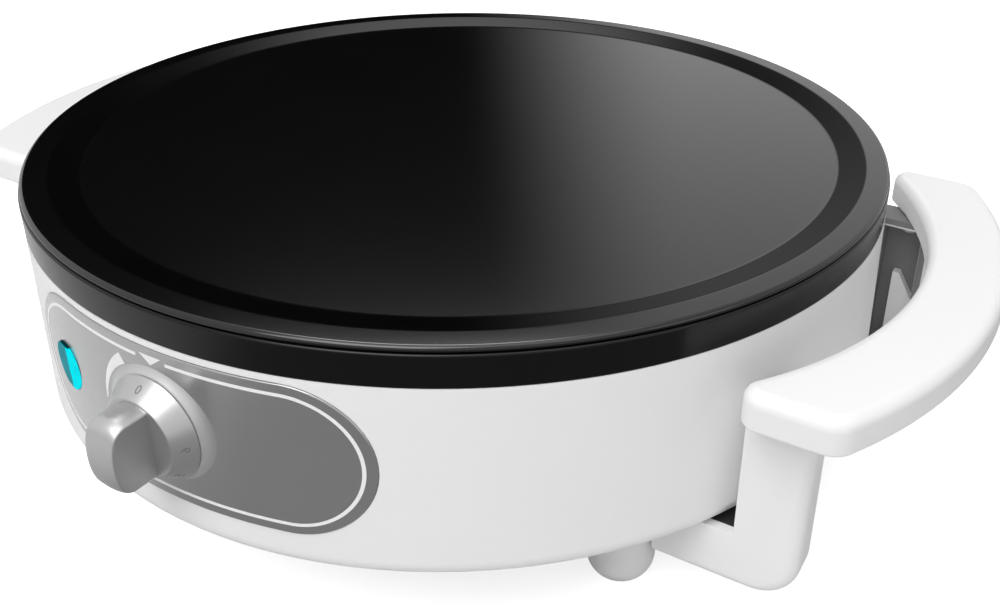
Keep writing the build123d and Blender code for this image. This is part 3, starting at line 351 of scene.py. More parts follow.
def make_lens_finish():
    """Tinted clear plastic with painted light: the facet towards the knob is painted bright and
    glows, the other is painted in shade, and the ridge's chamfered ends are painted dark as painted
    shade.
    """
    painted_shade_teal = (0.0, 0.2, 0.25), (0.0, 0.27, 0.33)
    painted_lit_teal = (0.0, 0.7, 0.8), (0.0, 0.8, 0.9)
    # painted shade: dark colour for the chamfers at the ridge's ends
    ends = (0.0, 0.02, 0.025), (0.0, 0.03, 0.035)
    material, tree, shader = shader_of("teal_lens")
    drift = noise_on(tree, 220.0, 2.0)
    across = distance_along(tree, (-sin(lens_angle), cos(lens_angle), 0))
    side = ramp_over(tree, across, (lens_ridge_offset - lens_blend) * MM,
                     (lens_ridge_offset + lens_blend) * MM)
    facets = mix_colours(tree, side, colour_between(tree, drift, *painted_shade_teal),
                         colour_between(tree, drift, *painted_lit_teal))
    height = distance_along(tree, (0, 0, 1))
    hip_top, hip_bottom = control_height + lens_hip_start, control_height - lens_hip_start
    top = ramp_over(tree, height, hip_top * MM, (hip_top + lens_blend) * MM)
    bottom = ramp_over(tree, height, (hip_bottom - lens_blend) * MM, hip_bottom * MM, 1, 0)
    colour = mix_colours(tree, arithmetic(tree, "ADD", top, bottom), facets,
                         colour_between(tree, drift, *ends))
    tree.links.new(colour, shader.inputs["Base Color"])
    tree.links.new(colour, shader.inputs["Emission Color"])
    tree.links.new(between(tree, drift, 0.12, 0.18), shader.inputs["Roughness"])
    # painted glow: the lens glows by itself with no lamp lit behind it, brightest where it is
    # painted lit
    shader.inputs["Emission Strength"].default_value = 0.12
    shader.inputs["IOR"].default_value = 1.49
    shader.inputs["Specular IOR Level"].default_value = 0.002
    return material


def make_seat_finish():
    """Painted reflection: a satin ring lighter than the panel, standing in for the knob's glow on
    the panel, that takes the panel's colour and gloss towards its foot.
    """
    seat_metallic = 0.5
    # grey 0.52, lighter than the panel: painted reflection of the knob's glow
    material = make_finish("painted_glow_seat", grey(0.52), 0.36, shift=0.02, rough_shift=0.01,
                           metallic=seat_metallic, depth=0.002, distance=0.00001)
    tree = material.node_tree
    shader = tree.nodes["Principled BSDF"]
    radius = distance_about(tree, (0, 0, control_height * MM), (1, 0, 1))

    def to_foot(low, high):
        return ramp_over(tree, radius, seat_radius * MM, seat_foot_radius * MM, low, high)

    satin = shader.inputs["Base Color"].links[0].from_socket
    link = tree.links.new
    link(mix_colours(tree, to_foot(0, 1), satin, panel_colour), shader.inputs["Base Color"])
    link(to_foot(seat_metallic, panel_metallic), shader.inputs["Metallic"])
    link(to_foot(0, panel_coat), shader.inputs["Coat Weight"])
    shader.inputs["Coat Roughness"].default_value = panel_coat_roughness
    return material


finishes = {
    "nonstick_black": make_plate_finish(),
    "collar_black": make_finish("collar_enamel", (0.003, 0.003, 0.0031), 0.2, shift=0.1,
                                rough_shift=0.02, grain=2000, depth=0.03, distance=0.00002,
                                specular=0.22),
    "body_white": make_finish("body_enamel", grey(0.83), 0.36, shift=0.006, rough_shift=0.03,
                              cloud=14, grain=900, depth=0.04, distance=0.00002),
    "base_black": make_finish("base_moulding", grey(0.018), 0.55, shift=0.15, depth=0.25),
    "panel_grey": make_finish("panel_film", panel_colour, 0.3, shift=0.02, rough_shift=0.02,
                              metallic=panel_metallic, grain=1800, depth=0.02, distance=0.00001,
                              coat=panel_coat, coat_roughness=panel_coat_roughness),
    "knob_satin": make_finish("knob_plating", grey(0.46), 0.33, shift=0.02, rough_shift=0.01,
                              metallic=0.75, grain=1400, depth=0.002, distance=0.00001),
    "lens_teal": make_lens_finish(),
    "lamp_glass": make_finish("lamp_glass", (0.9, 0.75, 0.6), 0.12, shift=0.05, rough_shift=0.04,
                              depth=0.02),
    "steel": make_finish("plated_steel", grey(0.6), 0.32, shift=0.06, rough_shift=0.08,
                         metallic=1.0, grain=2400),
    "brass": make_finish("turned_brass", (0.72, 0.52, 0.22), 0.3, shift=0.06, rough_shift=0.08,
                         metallic=1.0, grain=2400),
    "copper": make_finish("drawn_copper", (0.72, 0.36, 0.22), 0.34, shift=0.1, rough_shift=0.08,
                          metallic=1.0, grain=1800),
    "phenolic": make_finish("phenolic_moulding", (0.1, 0.075, 0.06), 0.5, shift=0.2,
                            rough_shift=0.08, depth=0.2),
    "element_steel": make_finish("element_sheath", (0.36, 0.33, 0.3), 0.45, shift=0.2,
                                 rough_shift=0.1, metallic=1.0),
    "galvanised": make_finish("galvanised_sheet", (0.55, 0.56, 0.57), 0.42, shift=0.16,
                              rough_shift=0.12, metallic=1.0, cloud=240),
    "reflector_aluminium": make_finish("bright_sheet", (0.76, 0.76, 0.77), 0.28, rough_shift=0.08,
                                       metallic=1.0, stretch=(1, 12, 1)),
    "gland_black": make_finish("gland_moulding", grey(0.02), 0.6, shift=0.15, depth=0.25),
    "terminal_white": make_finish("steatite", (0.78, 0.75, 0.68), 0.7, shift=0.05,
                                  rough_shift=0.08, depth=0.3),
    "fuse_metal": make_finish("fuse_can", (0.66, 0.64, 0.58), 0.4, shift=0.08, rough_shift=0.1,
                              metallic=1.0),
    "wire_sleeve": make_finish("glass_sleeve", (0.78, 0.76, 0.68), 0.85, shift=0.08, grain=3000,
                               depth=0.6, distance=0.0001, stretch=(1, 1, 4)),
    "handle_white": make_finish("grip_moulding", grey(0.86), 0.42, shift=0.006, rough_shift=0.03,
                                cloud=14, grain=1300, depth=0.08),
    "foot_white": make_finish("foot_moulding", grey(0.83), 0.44, shift=0.008, rough_shift=0.03,
                              cloud=14, grain=1300, depth=0.08),
    "foot_rubber": make_finish("foot_rubber", grey(0.14), 0.75, shift=0.1, depth=0.3),
}
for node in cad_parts.values():
    for material_slot in node.material_slots:
        slot_name = material_slot.material.name.split(".")[0]
        if slot_name in finishes:
            material_slot.material = finishes[slot_name]

# Finishes of pieces that the part's own slots don't cover.
# dark grey that paints the shade inside the legs' hollows
leg_painted_shade_grey = make_finish("leg_painted_shade", grey(0.2), 0.5, rough_shift=0.05)
painted_glow_seat = make_seat_finish()
print_white = make_finish("white_print", grey(0.86), 0.4, shift=0.01, rough_shift=0.04)
print_grey = make_finish("grey_print", grey(0.16), 0.5, shift=0.05, rough_shift=0.05)


# ---------------------------------------------------------------- making pieces
def round_off(shape, parts, affect, radius, segments):
    """Rounds vertices or edges of a mesh."""
    bmesh.ops.bevel(shape, geom=parts, affect=affect, offset=radius, offset_type="OFFSET",
                    segments=segments, profile=0.5, material=-1)


def chain(corners, closed=False):
    """Edges through corners in the XZ plane.

    A corner is its radius and height; where it is rounded, the rounding and the number of
    segments in it follow.
    """
    shape = bmesh.new()
    verts = [shape.verts.new((corner[0], 0, corner[1])) for corner in corners]
    for pair in zip(verts, verts[1:]):
        shape.edges.new(pair)
    if closed:
        shape.edges.new((verts[-1], verts[0]))
    for vert, corner in zip(verts, corners):
        if len(corner) > 2:
            round_off(shape, [vert], "VERTICES", corner[2], corner[3])
    return shape


def turn(shape, steps=turn_steps):
    """Turns a chain about the Z axis into a closed shell."""
    bmesh.ops.spin(shape, geom=shape.verts[:] + shape.edges[:], cent=(0, 0, 0), axis=(0, 0, 1),
                   angle=2 * pi, steps=steps, use_merge=True)
    bmesh.ops.remove_doubles(shape, verts=shape.verts[:], dist=merge_distance)
    bmesh.ops.recalc_face_normals(shape, faces=shape.faces[:])
    return shape


def move(shape, offset, verts=None):
    """Moves some vertices of a mesh, or all of them."""
    bmesh.ops.translate(shape, vec=offset, verts=verts or shape.verts[:])


def quarter_turn(shape, axis):
    """Turns a mesh by a right angle about an axis through the origin."""
    bmesh.ops.rotate(shape, cent=(0, 0, 0), matrix=Matrix.Rotation(pi / 2, 3, axis),
                     verts=shape.verts[:])


def cut_along(shape, place, normal, clear_outer=False):
    """Cuts a mesh with a plane; returns the new vertices and edges."""
    everything = shape.verts[:] + shape.edges[:] + shape.faces[:]
    return bmesh.ops.bisect_plane(shape, geom=everything, dist=cut_tolerance, plane_co=place,
                                  plane_no=normal, clear_outer=clear_outer)["geom_cut"]


def slice_across(shape, axis, places):
    """Cuts a mesh at several places along an axis, without taking anything away."""
    for place in places:
        middle, normal = Vector((0, 0, 0)), Vector((0, 0, 0))
        middle[axis], normal[axis] = place, 1
        cut_along(shape, middle, normal)


def cut_top(shape, place, normal):
    """Takes away what stands above a sloped plane and closes the cut."""
    cut = cut_along(shape, place, normal, clear_outer=True)
    rim = [part for part in cut if isinstance(part, bmesh.types.BMEdge)]
    bmesh.ops.holes_fill(shape, edges=rim)


def extrude_faces(shape, offset):
    """Extrudes all faces of a flat mesh by an offset."""
    made = bmesh.ops.extrude_face_region(shape, geom=shape.faces[:])["geom"]
    move(shape, offset, [part for part in made if isinstance(part, bmesh.types.BMVert)])


def thicken(shape, top, bottom):
    """Makes a closed slab of the flat faces in the XY plane."""
    extrude_faces(shape, (0, 0, top - bottom))
    move(shape, (0, 0, bottom))
    bmesh.ops.recalc_face_normals(shape, faces=shape.faces[:])


def object_from(name, shape):
    """Puts a mesh in the scene as an object."""
    mesh = bpy.data.meshes.new(name)
    shape.to_mesh(mesh)
    obj = bpy.data.objects.new(name, mesh)
    bpy.context.scene.collection.objects.link(obj)
    return obj


def combine(shape, tool, operation):
    """Joins a tool to a shape or cuts it out; both are closed."""
    body, cutter = object_from("temporary", shape), object_from("temporary", tool)
    change = body.modifiers.new("change", "BOOLEAN")
    change.operation, change.solver, change.object = operation, "EXACT", cutter
    bpy.context.view_layer.update()
    shape.clear()
    shape.from_object(body, bpy.context.evaluated_depsgraph_get())
    for spare in (body, cutter):
        spare_mesh = spare.data
        bpy.data.objects.remove(spare)
        bpy.data.meshes.remove(spare_mesh)
    tool.free()


def cylinder(radius, bottom, top, segments=64):
    """Upright closed cylinder."""
    shape = bmesh.new()
    bmesh.ops.create_cone(shape, cap_ends=True, segments=segments, radius1=radius, radius2=radius,
                          depth=top - bottom)
    move(shape, (0, 0, (top + bottom) / 2))
    return shape


def finish_piece(name, shape, slot, body="casing", stands_for=(), sharp=35, finish=None):
    """Names a mesh piece, gives it its finish and lets it ride on a body."""
    bmesh.ops.scale(shape, vec=(MM, MM, MM), verts=shape.verts[:])
    obj = object_from(name, shape)
    shape.free()
    obj.data.shade_smooth()
    obj.data.set_sharp_from_angle(angle=radians(sharp))
    obj.data.materials.append(finish or finishes[slot])
    shading = obj.modifiers.new("even_shading", "WEIGHTED_NORMAL")
    shading.keep_sharp = True
    shading.weight = 60
    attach(obj, body)
    if stands_for:
        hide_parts(*stands_for)


# ---------------------------------------------------------------- plate and collar
def make_plate():
    """Cast plate: cooking face, sloped band, rim, thin lip and the skirt inside the collar."""
    shape = chain([
        (0, plate_underside), (bed_inner_radius, plate_underside),
        (bed_inner_radius, bed_top, bed_round, 6), (bed_outer_radius, bed_top, bed_round, 6),
        (bed_outer_radius, plate_underside), (skirt_inner_radius, plate_underside),
        (skirt_inner_radius, skirt_bottom), (skirt_outer_radius, skirt_bottom),
        (skirt_outer_radius, lip_bottom), (plate_radius, lip_bottom, lip_round, 2),
        (plate_radius, rim_top, rim_outer_round, 6),
        (rim_inner_radius, rim_top, rim_inner_round, 4),
        (cooking_radius, cooking_height, cooking_edge_round, 4), (0, cooking_height)])
    finish_piece("crepe_plate", turn(shape), "nonstick_black", stands_for=["cooking_plate"],
                 sharp=50)


def make_collar():
    """Black ring between plate and drum, with the spigot that drops in the drum."""
    shape = chain([
        (spigot_inner_radius, spigot_bottom), (spigot_outer_radius, spigot_bottom),
        (spigot_outer_radius, body_top), (collar_radius, body_top, collar_bottom_round, 4),
        (collar_radius, collar_top, collar_top_round, 4),
        (collar_bore_radius, collar_top, collar_bore_round, 4),
        (collar_bore_radius, skirt_bottom), (ledge_inner_radius, skirt_bottom),
        (spigot_inner_radius, spigot_top)], closed=True)
    finish_piece("black_collar", turn(shape), "collar_black", stands_for=["plate_collar"],
                 sharp=50)


# ---------------------------------------------------------------- control panel
def drum_radius_at(height):
    """Outer radius of the drum, which widens a little towards its foot."""
    share = (height - base_height) / body_height
    return body_bottom_radius + (body_top_radius - body_bottom_radius) * share


def wrap_on_drum(shape):
    """Bends a flat shape on the drum's front: X across, Y up from the knob's axis, Z outwards."""
    for vert in shape.verts:
        height = control_height + vert.co.y
        radius = drum_radius_at(height) + vert.co.z
        vert.co = (vert.co.x, -sqrt(radius * radius - vert.co.x * vert.co.x), height)
    bmesh.ops.recalc_face_normals(shape, faces=shape.faces[:])


def racetrack():
    """Flat face with the panel's outline."""
    shape = bmesh.new()
    bmesh.ops.create_circle(shape, cap_ends=True, segments=panel_segments,
                            radius=panel_height / 2)
    bmesh.ops.rotate(shape, cent=(0, 0, 0), matrix=Matrix.Rotation(pi / panel_segments, 3, "Z"),
                     verts=shape.verts[:])
    reach = panel_half_width - panel_height / 2
    for vert in shape.verts:
        vert.co.x += reach if vert.co.x > 0 else -reach
    return shape


def lay_at_lens(shape):
    """Lays a shape made along +Z outwards along the lens's axis, its X across and Y up."""
    turn_down = Matrix.Rotation(pi / 2, 4, "X")
    turn_round = Matrix.Rotation(lens_angle + pi / 2, 4, "Z")
    place = Matrix.Translation((0, 0, control_height)) @ turn_round @ turn_down
    bmesh.ops.transform(shape, matrix=place, verts=shape.verts[:])


def make_panel():
    """Curved panel with a softened front edge, open for the lens and the thermostat's bush."""
    shape = racetrack()
    slice_across(shape, 0, panel_slices)
    thicken(shape, panel_proud, panel_proud - panel_thickness)
    rim = [edge for edge in shape.edges
           if min(vert.co.z for vert in edge.verts) > panel_proud - edge_tolerance
           and any(abs(face.normal.z) < 0.5 for face in edge.link_faces)]
    round_off(shape, rim, "EDGES", panel_edge_round, 3)
    wrap_on_drum(shape)
    bush_hole = cylinder(bush_hole_radius, hole_start, hole_end)
    quarter_turn(bush_hole, "X")
    move(bush_hole, (0, 0, control_height))
    combine(shape, bush_hole, "DIFFERENCE")
    lens_hole = cylinder(lens_radius + lens_hole_gap, hole_start, hole_end)
    lay_at_lens(lens_hole)
    combine(shape, lens_hole, "DIFFERENCE")
    finish_piece("panel_film", shape, "panel_grey", stands_for=["control_panel"])


def finish_print(name, shape):
    """Makes a flat shape a thin white print on the panel."""
    thicken(shape, panel_proud + print_proud, panel_proud - print_sunk)
    wrap_on_drum(shape)
    finish_piece(name, shape, "body_white", finish=print_white)


def make_border_line():
    """Printed line inside the panel's edge, open above the knob."""
    shape = racetrack()

    def inset(thickness):
        return bmesh.ops.inset_individual(shape, faces=shape.faces[:], thickness=thickness)["faces"]

    bmesh.ops.delete(shape, geom=inset(border_inset), context="FACES")
    line = inset(border_width)
    middle = [face for face in shape.faces if face not in line]
    bmesh.ops.delete(shape, geom=middle, context="FACES")
    slice_across(shape, 0, [-border_gap, border_gap, *panel_slices])
    gap = [face for face in shape.faces if face.calc_center_median().y > 0
           and abs(face.calc_center_median().x) < border_gap]
    bmesh.ops.delete(shape, geom=gap, context="FACES")
    finish_print("panel_border_line", shape)


def make_pointer():
    """Printed triangle in the line's gap, pointing at the knob."""
    shape = bmesh.new()
    shape.faces.new([shape.verts.new(place) for place in (
        (-pointer_half_width, pointer_top, 0), (0, pointer_tip, 0),
        (pointer_half_width, pointer_top, 0))])
    slice_across(shape, 0, pointer_slices)
    finish_print("panel_pointer", shape)


def make_turn_mark():
    """Printed arc beside the knob that widens clockwise."""
    shape = bmesh.new()
    inner = shape.verts.new((-mark_inner_radius, 0, 0))
    outer = shape.verts.new((-mark_outer_radius, 0, 0))
    edge = shape.edges.new((inner, outer))
    bmesh.ops.spin(shape, geom=[inner, outer, edge], cent=(0, 0, 0), axis=(0, 0, 1),
                   angle=-mark_angle, steps=mark_steps)
    for vert in shape.verts:
        if vert.co.length < (mark_inner_radius + mark_outer_radius) / 2:
            share = (pi - atan2(vert.co.y, vert.co.x)) / mark_angle
            vert.co *= (mark_inner_radius - mark_widening * share) / vert.co.length
    finish_print("panel_turn_mark", shape)


# ---------------------------------------------------------------- knob
def lay_at_knob(shape):
    """Lays a shape made along +Z outwards at the front of the panel, its Y up."""
    place = Matrix.Translation((0, -knob_base, control_height)) @ Matrix.Rotation(pi / 2, 4, "X")
    bmesh.ops.transform(shape, matrix=place, verts=shape.verts[:])


def make_bar():
    """Upright grip bar with a rounded tip; its ends curve in towards its flanks."""
    root = knob_skirt_height - bar_sunk
    bar = chain([(-bar_reach, root), (-bar_reach, bar_shoulder, bar_shoulder_round, 8),
                 (0, bar_tip, bar_tip_round, 12),
                 (bar_reach, bar_shoulder, bar_shoulder_round, 8), (bar_reach, root)], closed=True)
    bmesh.ops.contextual_create(bar, geom=bar.edges[:])
    quarter_turn(bar, "Z")
    extrude_faces(bar, (bar_width, 0, 0))
    move(bar, (-bar_width / 2, 0, 0))
    bmesh.ops.recalc_face_normals(bar, faces=bar.faces[:])
    flank_edges = [edge for edge in bar.edges
                   if abs(edge.verts[0].co.x - edge.verts[1].co.x) < edge_tolerance]
    round_off(bar, flank_edges, "EDGES", bar_edge_round, 3)
    slice_across(bar, 0, bar_slices)
    for vert in bar.verts:
        vert.co.y *= sqrt(1 - (vert.co.x / bar_plan_radius) ** 2)
    return bar


def make_knob():
    """Turned skirt with a D-shaped grip bar; one metallised moulding."""
    shape = chain([
        (0, knob_cavity_depth), (knob_cavity_radius, knob_cavity_depth),
        (knob_cavity_radius, 0, knob_cavity_round, 3), (knob_base_radius, 0, knob_base_round, 3),
        (knob_face_radius, knob_skirt_height, knob_face_round, 3), (0, knob_skirt_height)])
    turn(shape, knob_steps)
    combine(shape, make_bar(), "UNION")
    shaft_hole = cylinder(shaft_hole_radius, shaft_hole_bottom, shaft_hole_top)
    combine(shape, shaft_hole, "DIFFERENCE")
    lay_at_knob(shape)
    finish_piece("dial_knob", shape, "knob_satin", body="dial", stands_for=["control_knob"],
                 sharp=40)


def make_dial_seat():
    """Satin ring that swells from the panel behind the knob's skirt in a hollow curve; its lighter
    colour is a painted reflection of the knob's glow on the panel.
    """
    shares = [step / seat_steps for step in range(1, seat_steps + 1)]
    curve = [(seat_radius + (seat_foot_radius - seat_radius) * share,
              seat_foot + (seat_top - seat_foot) * (1 - share) ** 2) for share in shares]
    bottom = seat_foot - seat_thickness
    seat = chain([(seat_radius, seat_top, seat_edge_round, 4), *curve, (seat_foot_radius, bottom),
                  (seat_hole_radius, bottom), (seat_hole_radius, seat_top)], closed=True)
    turn(seat, knob_steps)
    lay_at_knob(seat)
    finish_piece("dial_seat", seat, "panel_grey", finish=painted_glow_seat)


def written(text):
    """Flat mesh of a text in the XY plane, centred."""
    words = bpy.data.curves.new("number", "FONT")
    words.body = text
    words.size = number_size
    words.align_x = words.align_y = "CENTER"
    writing = bpy.data.objects.new("number", words)
    bpy.context.scene.collection.objects.link(writing)
    flat = bpy.data.meshes.new_from_object(writing)
    bpy.data.objects.remove(writing)
    shape = bmesh.new()
    shape.from_mesh(flat)
    bpy.data.meshes.remove(flat)
    bmesh.ops.remove_doubles(shape, verts=shape.verts[:], dist=cut_tolerance)
    return shape


def make_dial_numbers():
    """Numbers from 0 up, printed on the skirt's slope, anticlockwise from the pointer."""
    slope_width = knob_base_radius - knob_face_radius
    slant = sqrt(slope_width ** 2 + knob_skirt_height ** 2)
    for number in range(number_count):
        shape = written(str(number))
        thicken(shape, print_proud, -print_sunk)
        for vert in shape.verts:
            share = 0.5 - vert.co.y / slant
            radius = knob_face_radius + slope_width * share
            height = knob_skirt_height * (1 - share)
            angle = radians(90 + number_pitch * number) - vert.co.x / radius
            out = Vector((cos(angle) * knob_skirt_height, sin(angle) * knob_skirt_height,
                          slope_width)).normalized()
            on_slope = Vector((radius * cos(angle), radius * sin(angle), height))
            vert.co = on_slope + out * vert.co.z
        lay_at_knob(shape)
        finish_piece(f"dial_number_{number}", shape, "base_black", body="dial", finish=print_grey)


# ---------------------------------------------------------------- lamp
def make_lens():
    """Lens with two facets that meet in an upright ridge, chamfered at the ridge's ends."""
    shape = cylinder(lens_radius, lens_back, lens_front)
    for side, facet in zip((-1, 1), lens_facet_angles):
        slope = Vector((sin(facet) * side, 0, cos(facet)))
        cut_top(shape, Vector((lens_ridge_offset, 0, lens_ridge)), slope)
        hip = Vector((0, side, lens_hip_normal)).normalized()
        cut_top(shape, Vector((0, lens_hip_start * side, lens_ridge)), hip)
    move(shape, (0, 0, control_radius))
    crown = [edge for edge in shape.edges
             if min(vert.co.z for vert in edge.verts) > control_radius + lens_crown_start
             and edge.calc_length() > lens_least_edge]
    round_off(shape, crown, "EDGES", lens_edge_round, 2)
    lay_at_lens(shape)
    finish_piece("lamp_lens", shape, "lens_teal", stands_for=["indicator_lens"], sharp=20)


def make_lens_seal():
    """Dark ring round the lens."""
    seal = chain([(seal_inner_radius, seal_bottom), (seal_outer_radius, seal_bottom),
                  (seal_outer_radius, seal_top), (seal_inner_radius, seal_top)], closed=True)
    turn(seal, seal_steps)
    move(seal, (0, 0, control_radius))
    lay_at_lens(seal)
    finish_piece("lens_seal", seal, "base_black")


# ---------------------------------------------------------------- legs
def add_box(shape, low, high):
    """Adds a box between two corners."""
    verts = bmesh.ops.create_cube(shape, size=1)["verts"]
    size = Vector(high) - Vector(low)
    bmesh.ops.scale(shape, vec=size, verts=verts)
    move(shape, Vector(low) + size / 2, verts)


def make_leg_tray(side_x, side_y):
    """Dark grey liner in the hollow of a leg, a sheet of painted shade, open towards the cooker's
    middle, with a cap.
    """
    shape = bmesh.new()
    add_box(shape, (tray_left, tray_mouth, tray_bottom), (tray_right, tray_back, tray_top))
    mouth = min(shape.faces, key=lambda face: face.calc_center_median().y)
    bmesh.ops.inset_individual(shape, faces=[mouth], thickness=tray_wall)
    inner = bmesh.ops.extrude_discrete_faces(shape, faces=[mouth])["faces"][0]
    move(shape, (0, tray_back - tray_mouth - tray_floor, 0), inner.verts[:])
    add_box(shape, (tray_left, tray_back - cap_overlap, tray_top - cap_bottom_drop),
            (tray_right - cap_right_gap, cap_back, tray_top - cap_top_drop))
    bmesh.ops.scale(shape, vec=(side_x, side_y, 1), verts=shape.verts[:])
    bmesh.ops.recalc_face_normals(shape, faces=shape.faces[:])
    where = ("right" if side_x > 0 else "left") + ("_rear" if side_y > 0 else "_front")
    finish_piece("leg_shade_liner_" + where, shape, "handle_white", finish=leg_painted_shade_grey)


make_plate()
make_collar()
make_panel()
make_border_line()
make_pointer()
make_turn_mark()
make_knob()
make_dial_seat()
make_dial_numbers()
make_lens()
make_lens_seal()
for side_x in (-1, 1):
    for side_y in (-1, 1):
        make_leg_tray(side_x, side_y)


# ---------------------------------------------------------------- studio
def make_world():
    """Plain white to the camera, mirrors and glass, and a dimmer fill to everything else."""
    world = bpy.data.worlds.new("studio")
    bpy.context.scene.world = world
    world.use_nodes = True
    tree = world.node_tree
    tree.nodes.clear()
    path = tree.nodes.new("ShaderNodeLightPath").outputs
    seen = arithmetic(tree, "MAXIMUM", path["Is Camera Ray"], path["Is Glossy Ray"])
    seen = arithmetic(tree, "MAXIMUM", seen, path["Is Transmission Ray"])
    blend = tree.nodes.new("ShaderNodeMixShader")
    tree.links.new(seen, blend.inputs["Fac"])
    for socket, strength in ((1, fill_strength), (2, 1.0)):
        light = tree.nodes.new("ShaderNodeBackground")
        light.inputs["Color"].default_value = (1, 1, 1, 1)
        light.inputs["Strength"].default_value = strength
        tree.links.new(light.outputs[0], blend.inputs[socket])
    output = tree.nodes.new("ShaderNodeOutputWorld")
    tree.links.new(blend.outputs[0], output.inputs["Surface"])


def make_floor():
    """White table that keeps the object's soft shadow."""
    flat = bmesh.new()
    bmesh.ops.create_grid(flat, x_segments=1, y_segments=1, size=floor_half_width)
    floor = object_from("floor", flat)
    flat.free()
    material, tree, shader = shader_of("white_table")
    shader.inputs["Base Color"].default_value = (0.8, 0.8, 0.8, 1)
    shader.inputs["Roughness"].default_value = 0.9
    shader.inputs["Specular IOR Level"].default_value = 0.1
    shader.inputs["Emission Color"].default_value = (1, 1, 1, 1)
    path = tree.nodes.new("ShaderNodeLightPath")
    lift = tree.nodes.new("ShaderNodeMath")
    lift.operation = "MULTIPLY"
    lift.inputs[1].default_value = floor_glow
    tree.links.new(path.outputs["Is Camera Ray"], lift.inputs[0])
    tree.links.new(lift.outputs[0], shader.inputs["Emission Strength"])
    floor.data.materials.append(material)


def direction_at(azimuth, elevation):
    """Unit vector from the object at an azimuth (0 is -Y, 90 is +X) and elevation, in degrees."""
    a, e = radians(azimuth), radians(elevation)
    return Vector((sin(a) * cos(e), -cos(a) * cos(e), sin(e)))


def face_object(obj, azimuth, elevation, distance, front):
    """Puts a lamp or card somewhere round the object, with its front axis towards it."""
    obj.location = Vector(aim_point) + distance * direction_at(azimuth, elevation)
    obj.rotation_mode = "QUATERNION"
    obj.rotation_quaternion = (Vector(aim_point) - obj.location).to_track_quat(front, "Y")


def add_softbox(name, azimuth, elevation, distance, width, height, power):
    """Rectangular lamp aimed at the object."""
    lamp = bpy.data.lights.new(name, "AREA")
    lamp.shape = "RECTANGLE"
    lamp.size, lamp.size_y = width, height
    lamp.energy = power
    obj = bpy.data.objects.new(name, lamp)
    face_object(obj, azimuth, elevation, distance, "-Z")
    obj.visible_camera = False
    bpy.context.scene.collection.objects.link(obj)


def glowing_material(name, glow, cover):
    """Even glow where the cover is one, nothing where it is zero; cover makes it from a tree."""
    material = bpy.data.materials.new(name)
    material.use_nodes = True
    tree = material.node_tree
    tree.nodes.clear()
    light = tree.nodes.new("ShaderNodeEmission")
    light.inputs["Color"].default_value = (1, 1, 1, 1)
    light.inputs["Strength"].default_value = glow
    clear = tree.nodes.new("ShaderNodeBsdfTransparent")
    blend = tree.nodes.new("ShaderNodeMixShader")
    output = tree.nodes.new("ShaderNodeOutputMaterial")
    tree.links.new(cover(tree), blend.inputs["Fac"])
    tree.links.new(clear.outputs[0], blend.inputs[1])
    tree.links.new(light.outputs[0], blend.inputs[2])
    tree.links.new(blend.outputs[0], output.inputs["Surface"])
    return material


def mirror_object(name, shape, glow, cover):
    """Glowing card or disc that only reflections see."""
    obj = object_from(name, shape)
    shape.free()
    obj.data.materials.append(glowing_material(name, glow, cover))
    for ray in ("camera", "diffuse", "transmission", "volume_scatter", "shadow"):
        setattr(obj, "visible_" + ray, False)
    return obj


def add_card(name, azimuth, elevation, distance, width, height, glow, fades):
    """Card for mirrors; its right, left, top and bottom fade over shares of its size."""
    def cover(tree):
        sides = ((1, 0, 0), (-1, 0, 0), (0, 1, 0), (0, -1, 0))
        sizes = (width, width, height, height)
        whole = None
        for side, size, fade in zip(sides, sizes, fades):
            if fade:
                reach = distance_along(tree, side)
                edge = ramp_over(tree, reach, size * (0.5 - fade), size * 0.5, 1, 0)
                whole = arithmetic(tree, "MULTIPLY", whole, edge) if whole else edge
        return whole

    card = bmesh.new()
    bmesh.ops.create_grid(card, x_segments=1, y_segments=1, size=0.5)
    bmesh.ops.scale(card, vec=(width, height, 1), verts=card.verts[:])
    face_object(mirror_object(name, card, glow, cover), azimuth, elevation, distance, "Z")


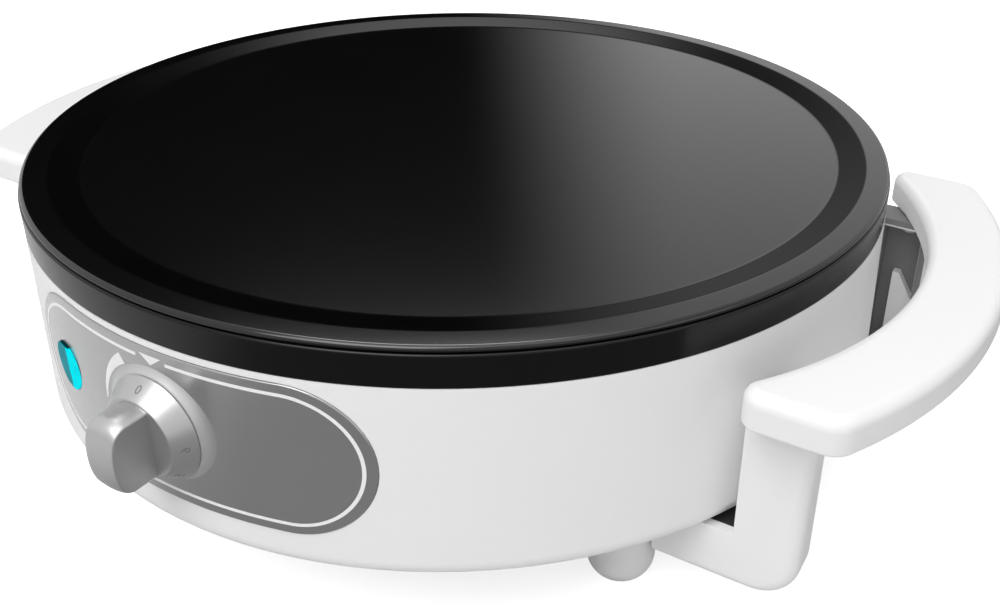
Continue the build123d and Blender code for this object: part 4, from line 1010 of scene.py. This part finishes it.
def add_floor_card(name, reach, glow, start, end):
    """Grey disc just above the table for mirrors; it fades towards -X between two places."""
    def cover(tree):
        return ramp_over(tree, distance_along(tree, (1, 0, 0)), start, end)

    disc = bmesh.new()
    bmesh.ops.create_circle(disc, cap_ends=True, segments=64, radius=reach)
    mirror_object(name, disc, glow, cover).location = (0, 0, floor_card_height)


def make_camera():
    """Camera placed in a frame turned about the object: azimuth, elevation, roll and offsets."""
    azimuth, roll = radians(camera_azimuth), radians(camera_roll)
    back = direction_at(camera_azimuth, camera_elevation)
    right = Vector((cos(azimuth), sin(azimuth), 0))
    up = back.cross(right)
    turned_right = right * cos(roll) + up * sin(roll)
    turned_up = up * cos(roll) - right * sin(roll)
    place = right * camera_side + Vector((0, 0, camera_lift)) + back * camera_distance
    data = bpy.data.cameras.new("camera")
    data.lens = camera_focal * sensor_width / picture_width
    data.sensor_width = sensor_width
    data.shift_x, data.shift_y = camera_shift
    data.clip_start, data.clip_end = 0.01, 50.0
    camera = bpy.data.objects.new("camera", data)
    axes = Matrix((turned_right, turned_up, back)).transposed().to_4x4()
    camera.matrix_world = Matrix.Translation(place) @ axes
    bpy.context.scene.collection.objects.link(camera)
    bpy.context.scene.camera = camera


make_world()
make_floor()
make_camera()
add_softbox("top_light", azimuth=30, elevation=78, distance=1.3, width=1.2, height=1.2, power=6.6)
add_softbox("front_light", azimuth=0, elevation=52, distance=1.5, width=0.9, height=0.8,
            power=11.0)
add_softbox("side_light", azimuth=84, elevation=14, distance=1.5, width=0.6, height=0.6,
            power=0.9)
behind = camera_azimuth + 180
add_card("dark_card", azimuth=behind + 17, elevation=18, distance=2.2, width=1.78, height=2.54,
         glow=0.0, fades=(0.33, 0, 0.22, 0))
add_card("bright_card", azimuth=behind + 14, elevation=50.5, distance=2.0, width=1.0, height=0.86,
         glow=8.0, fades=(0.3, 0.25, 0.3, 0.15))
add_floor_card("floor_card", reach=1.6, glow=0.28, start=-0.12, end=-0.02)

bpy.context.scene.view_settings.view_transform = "Standard"
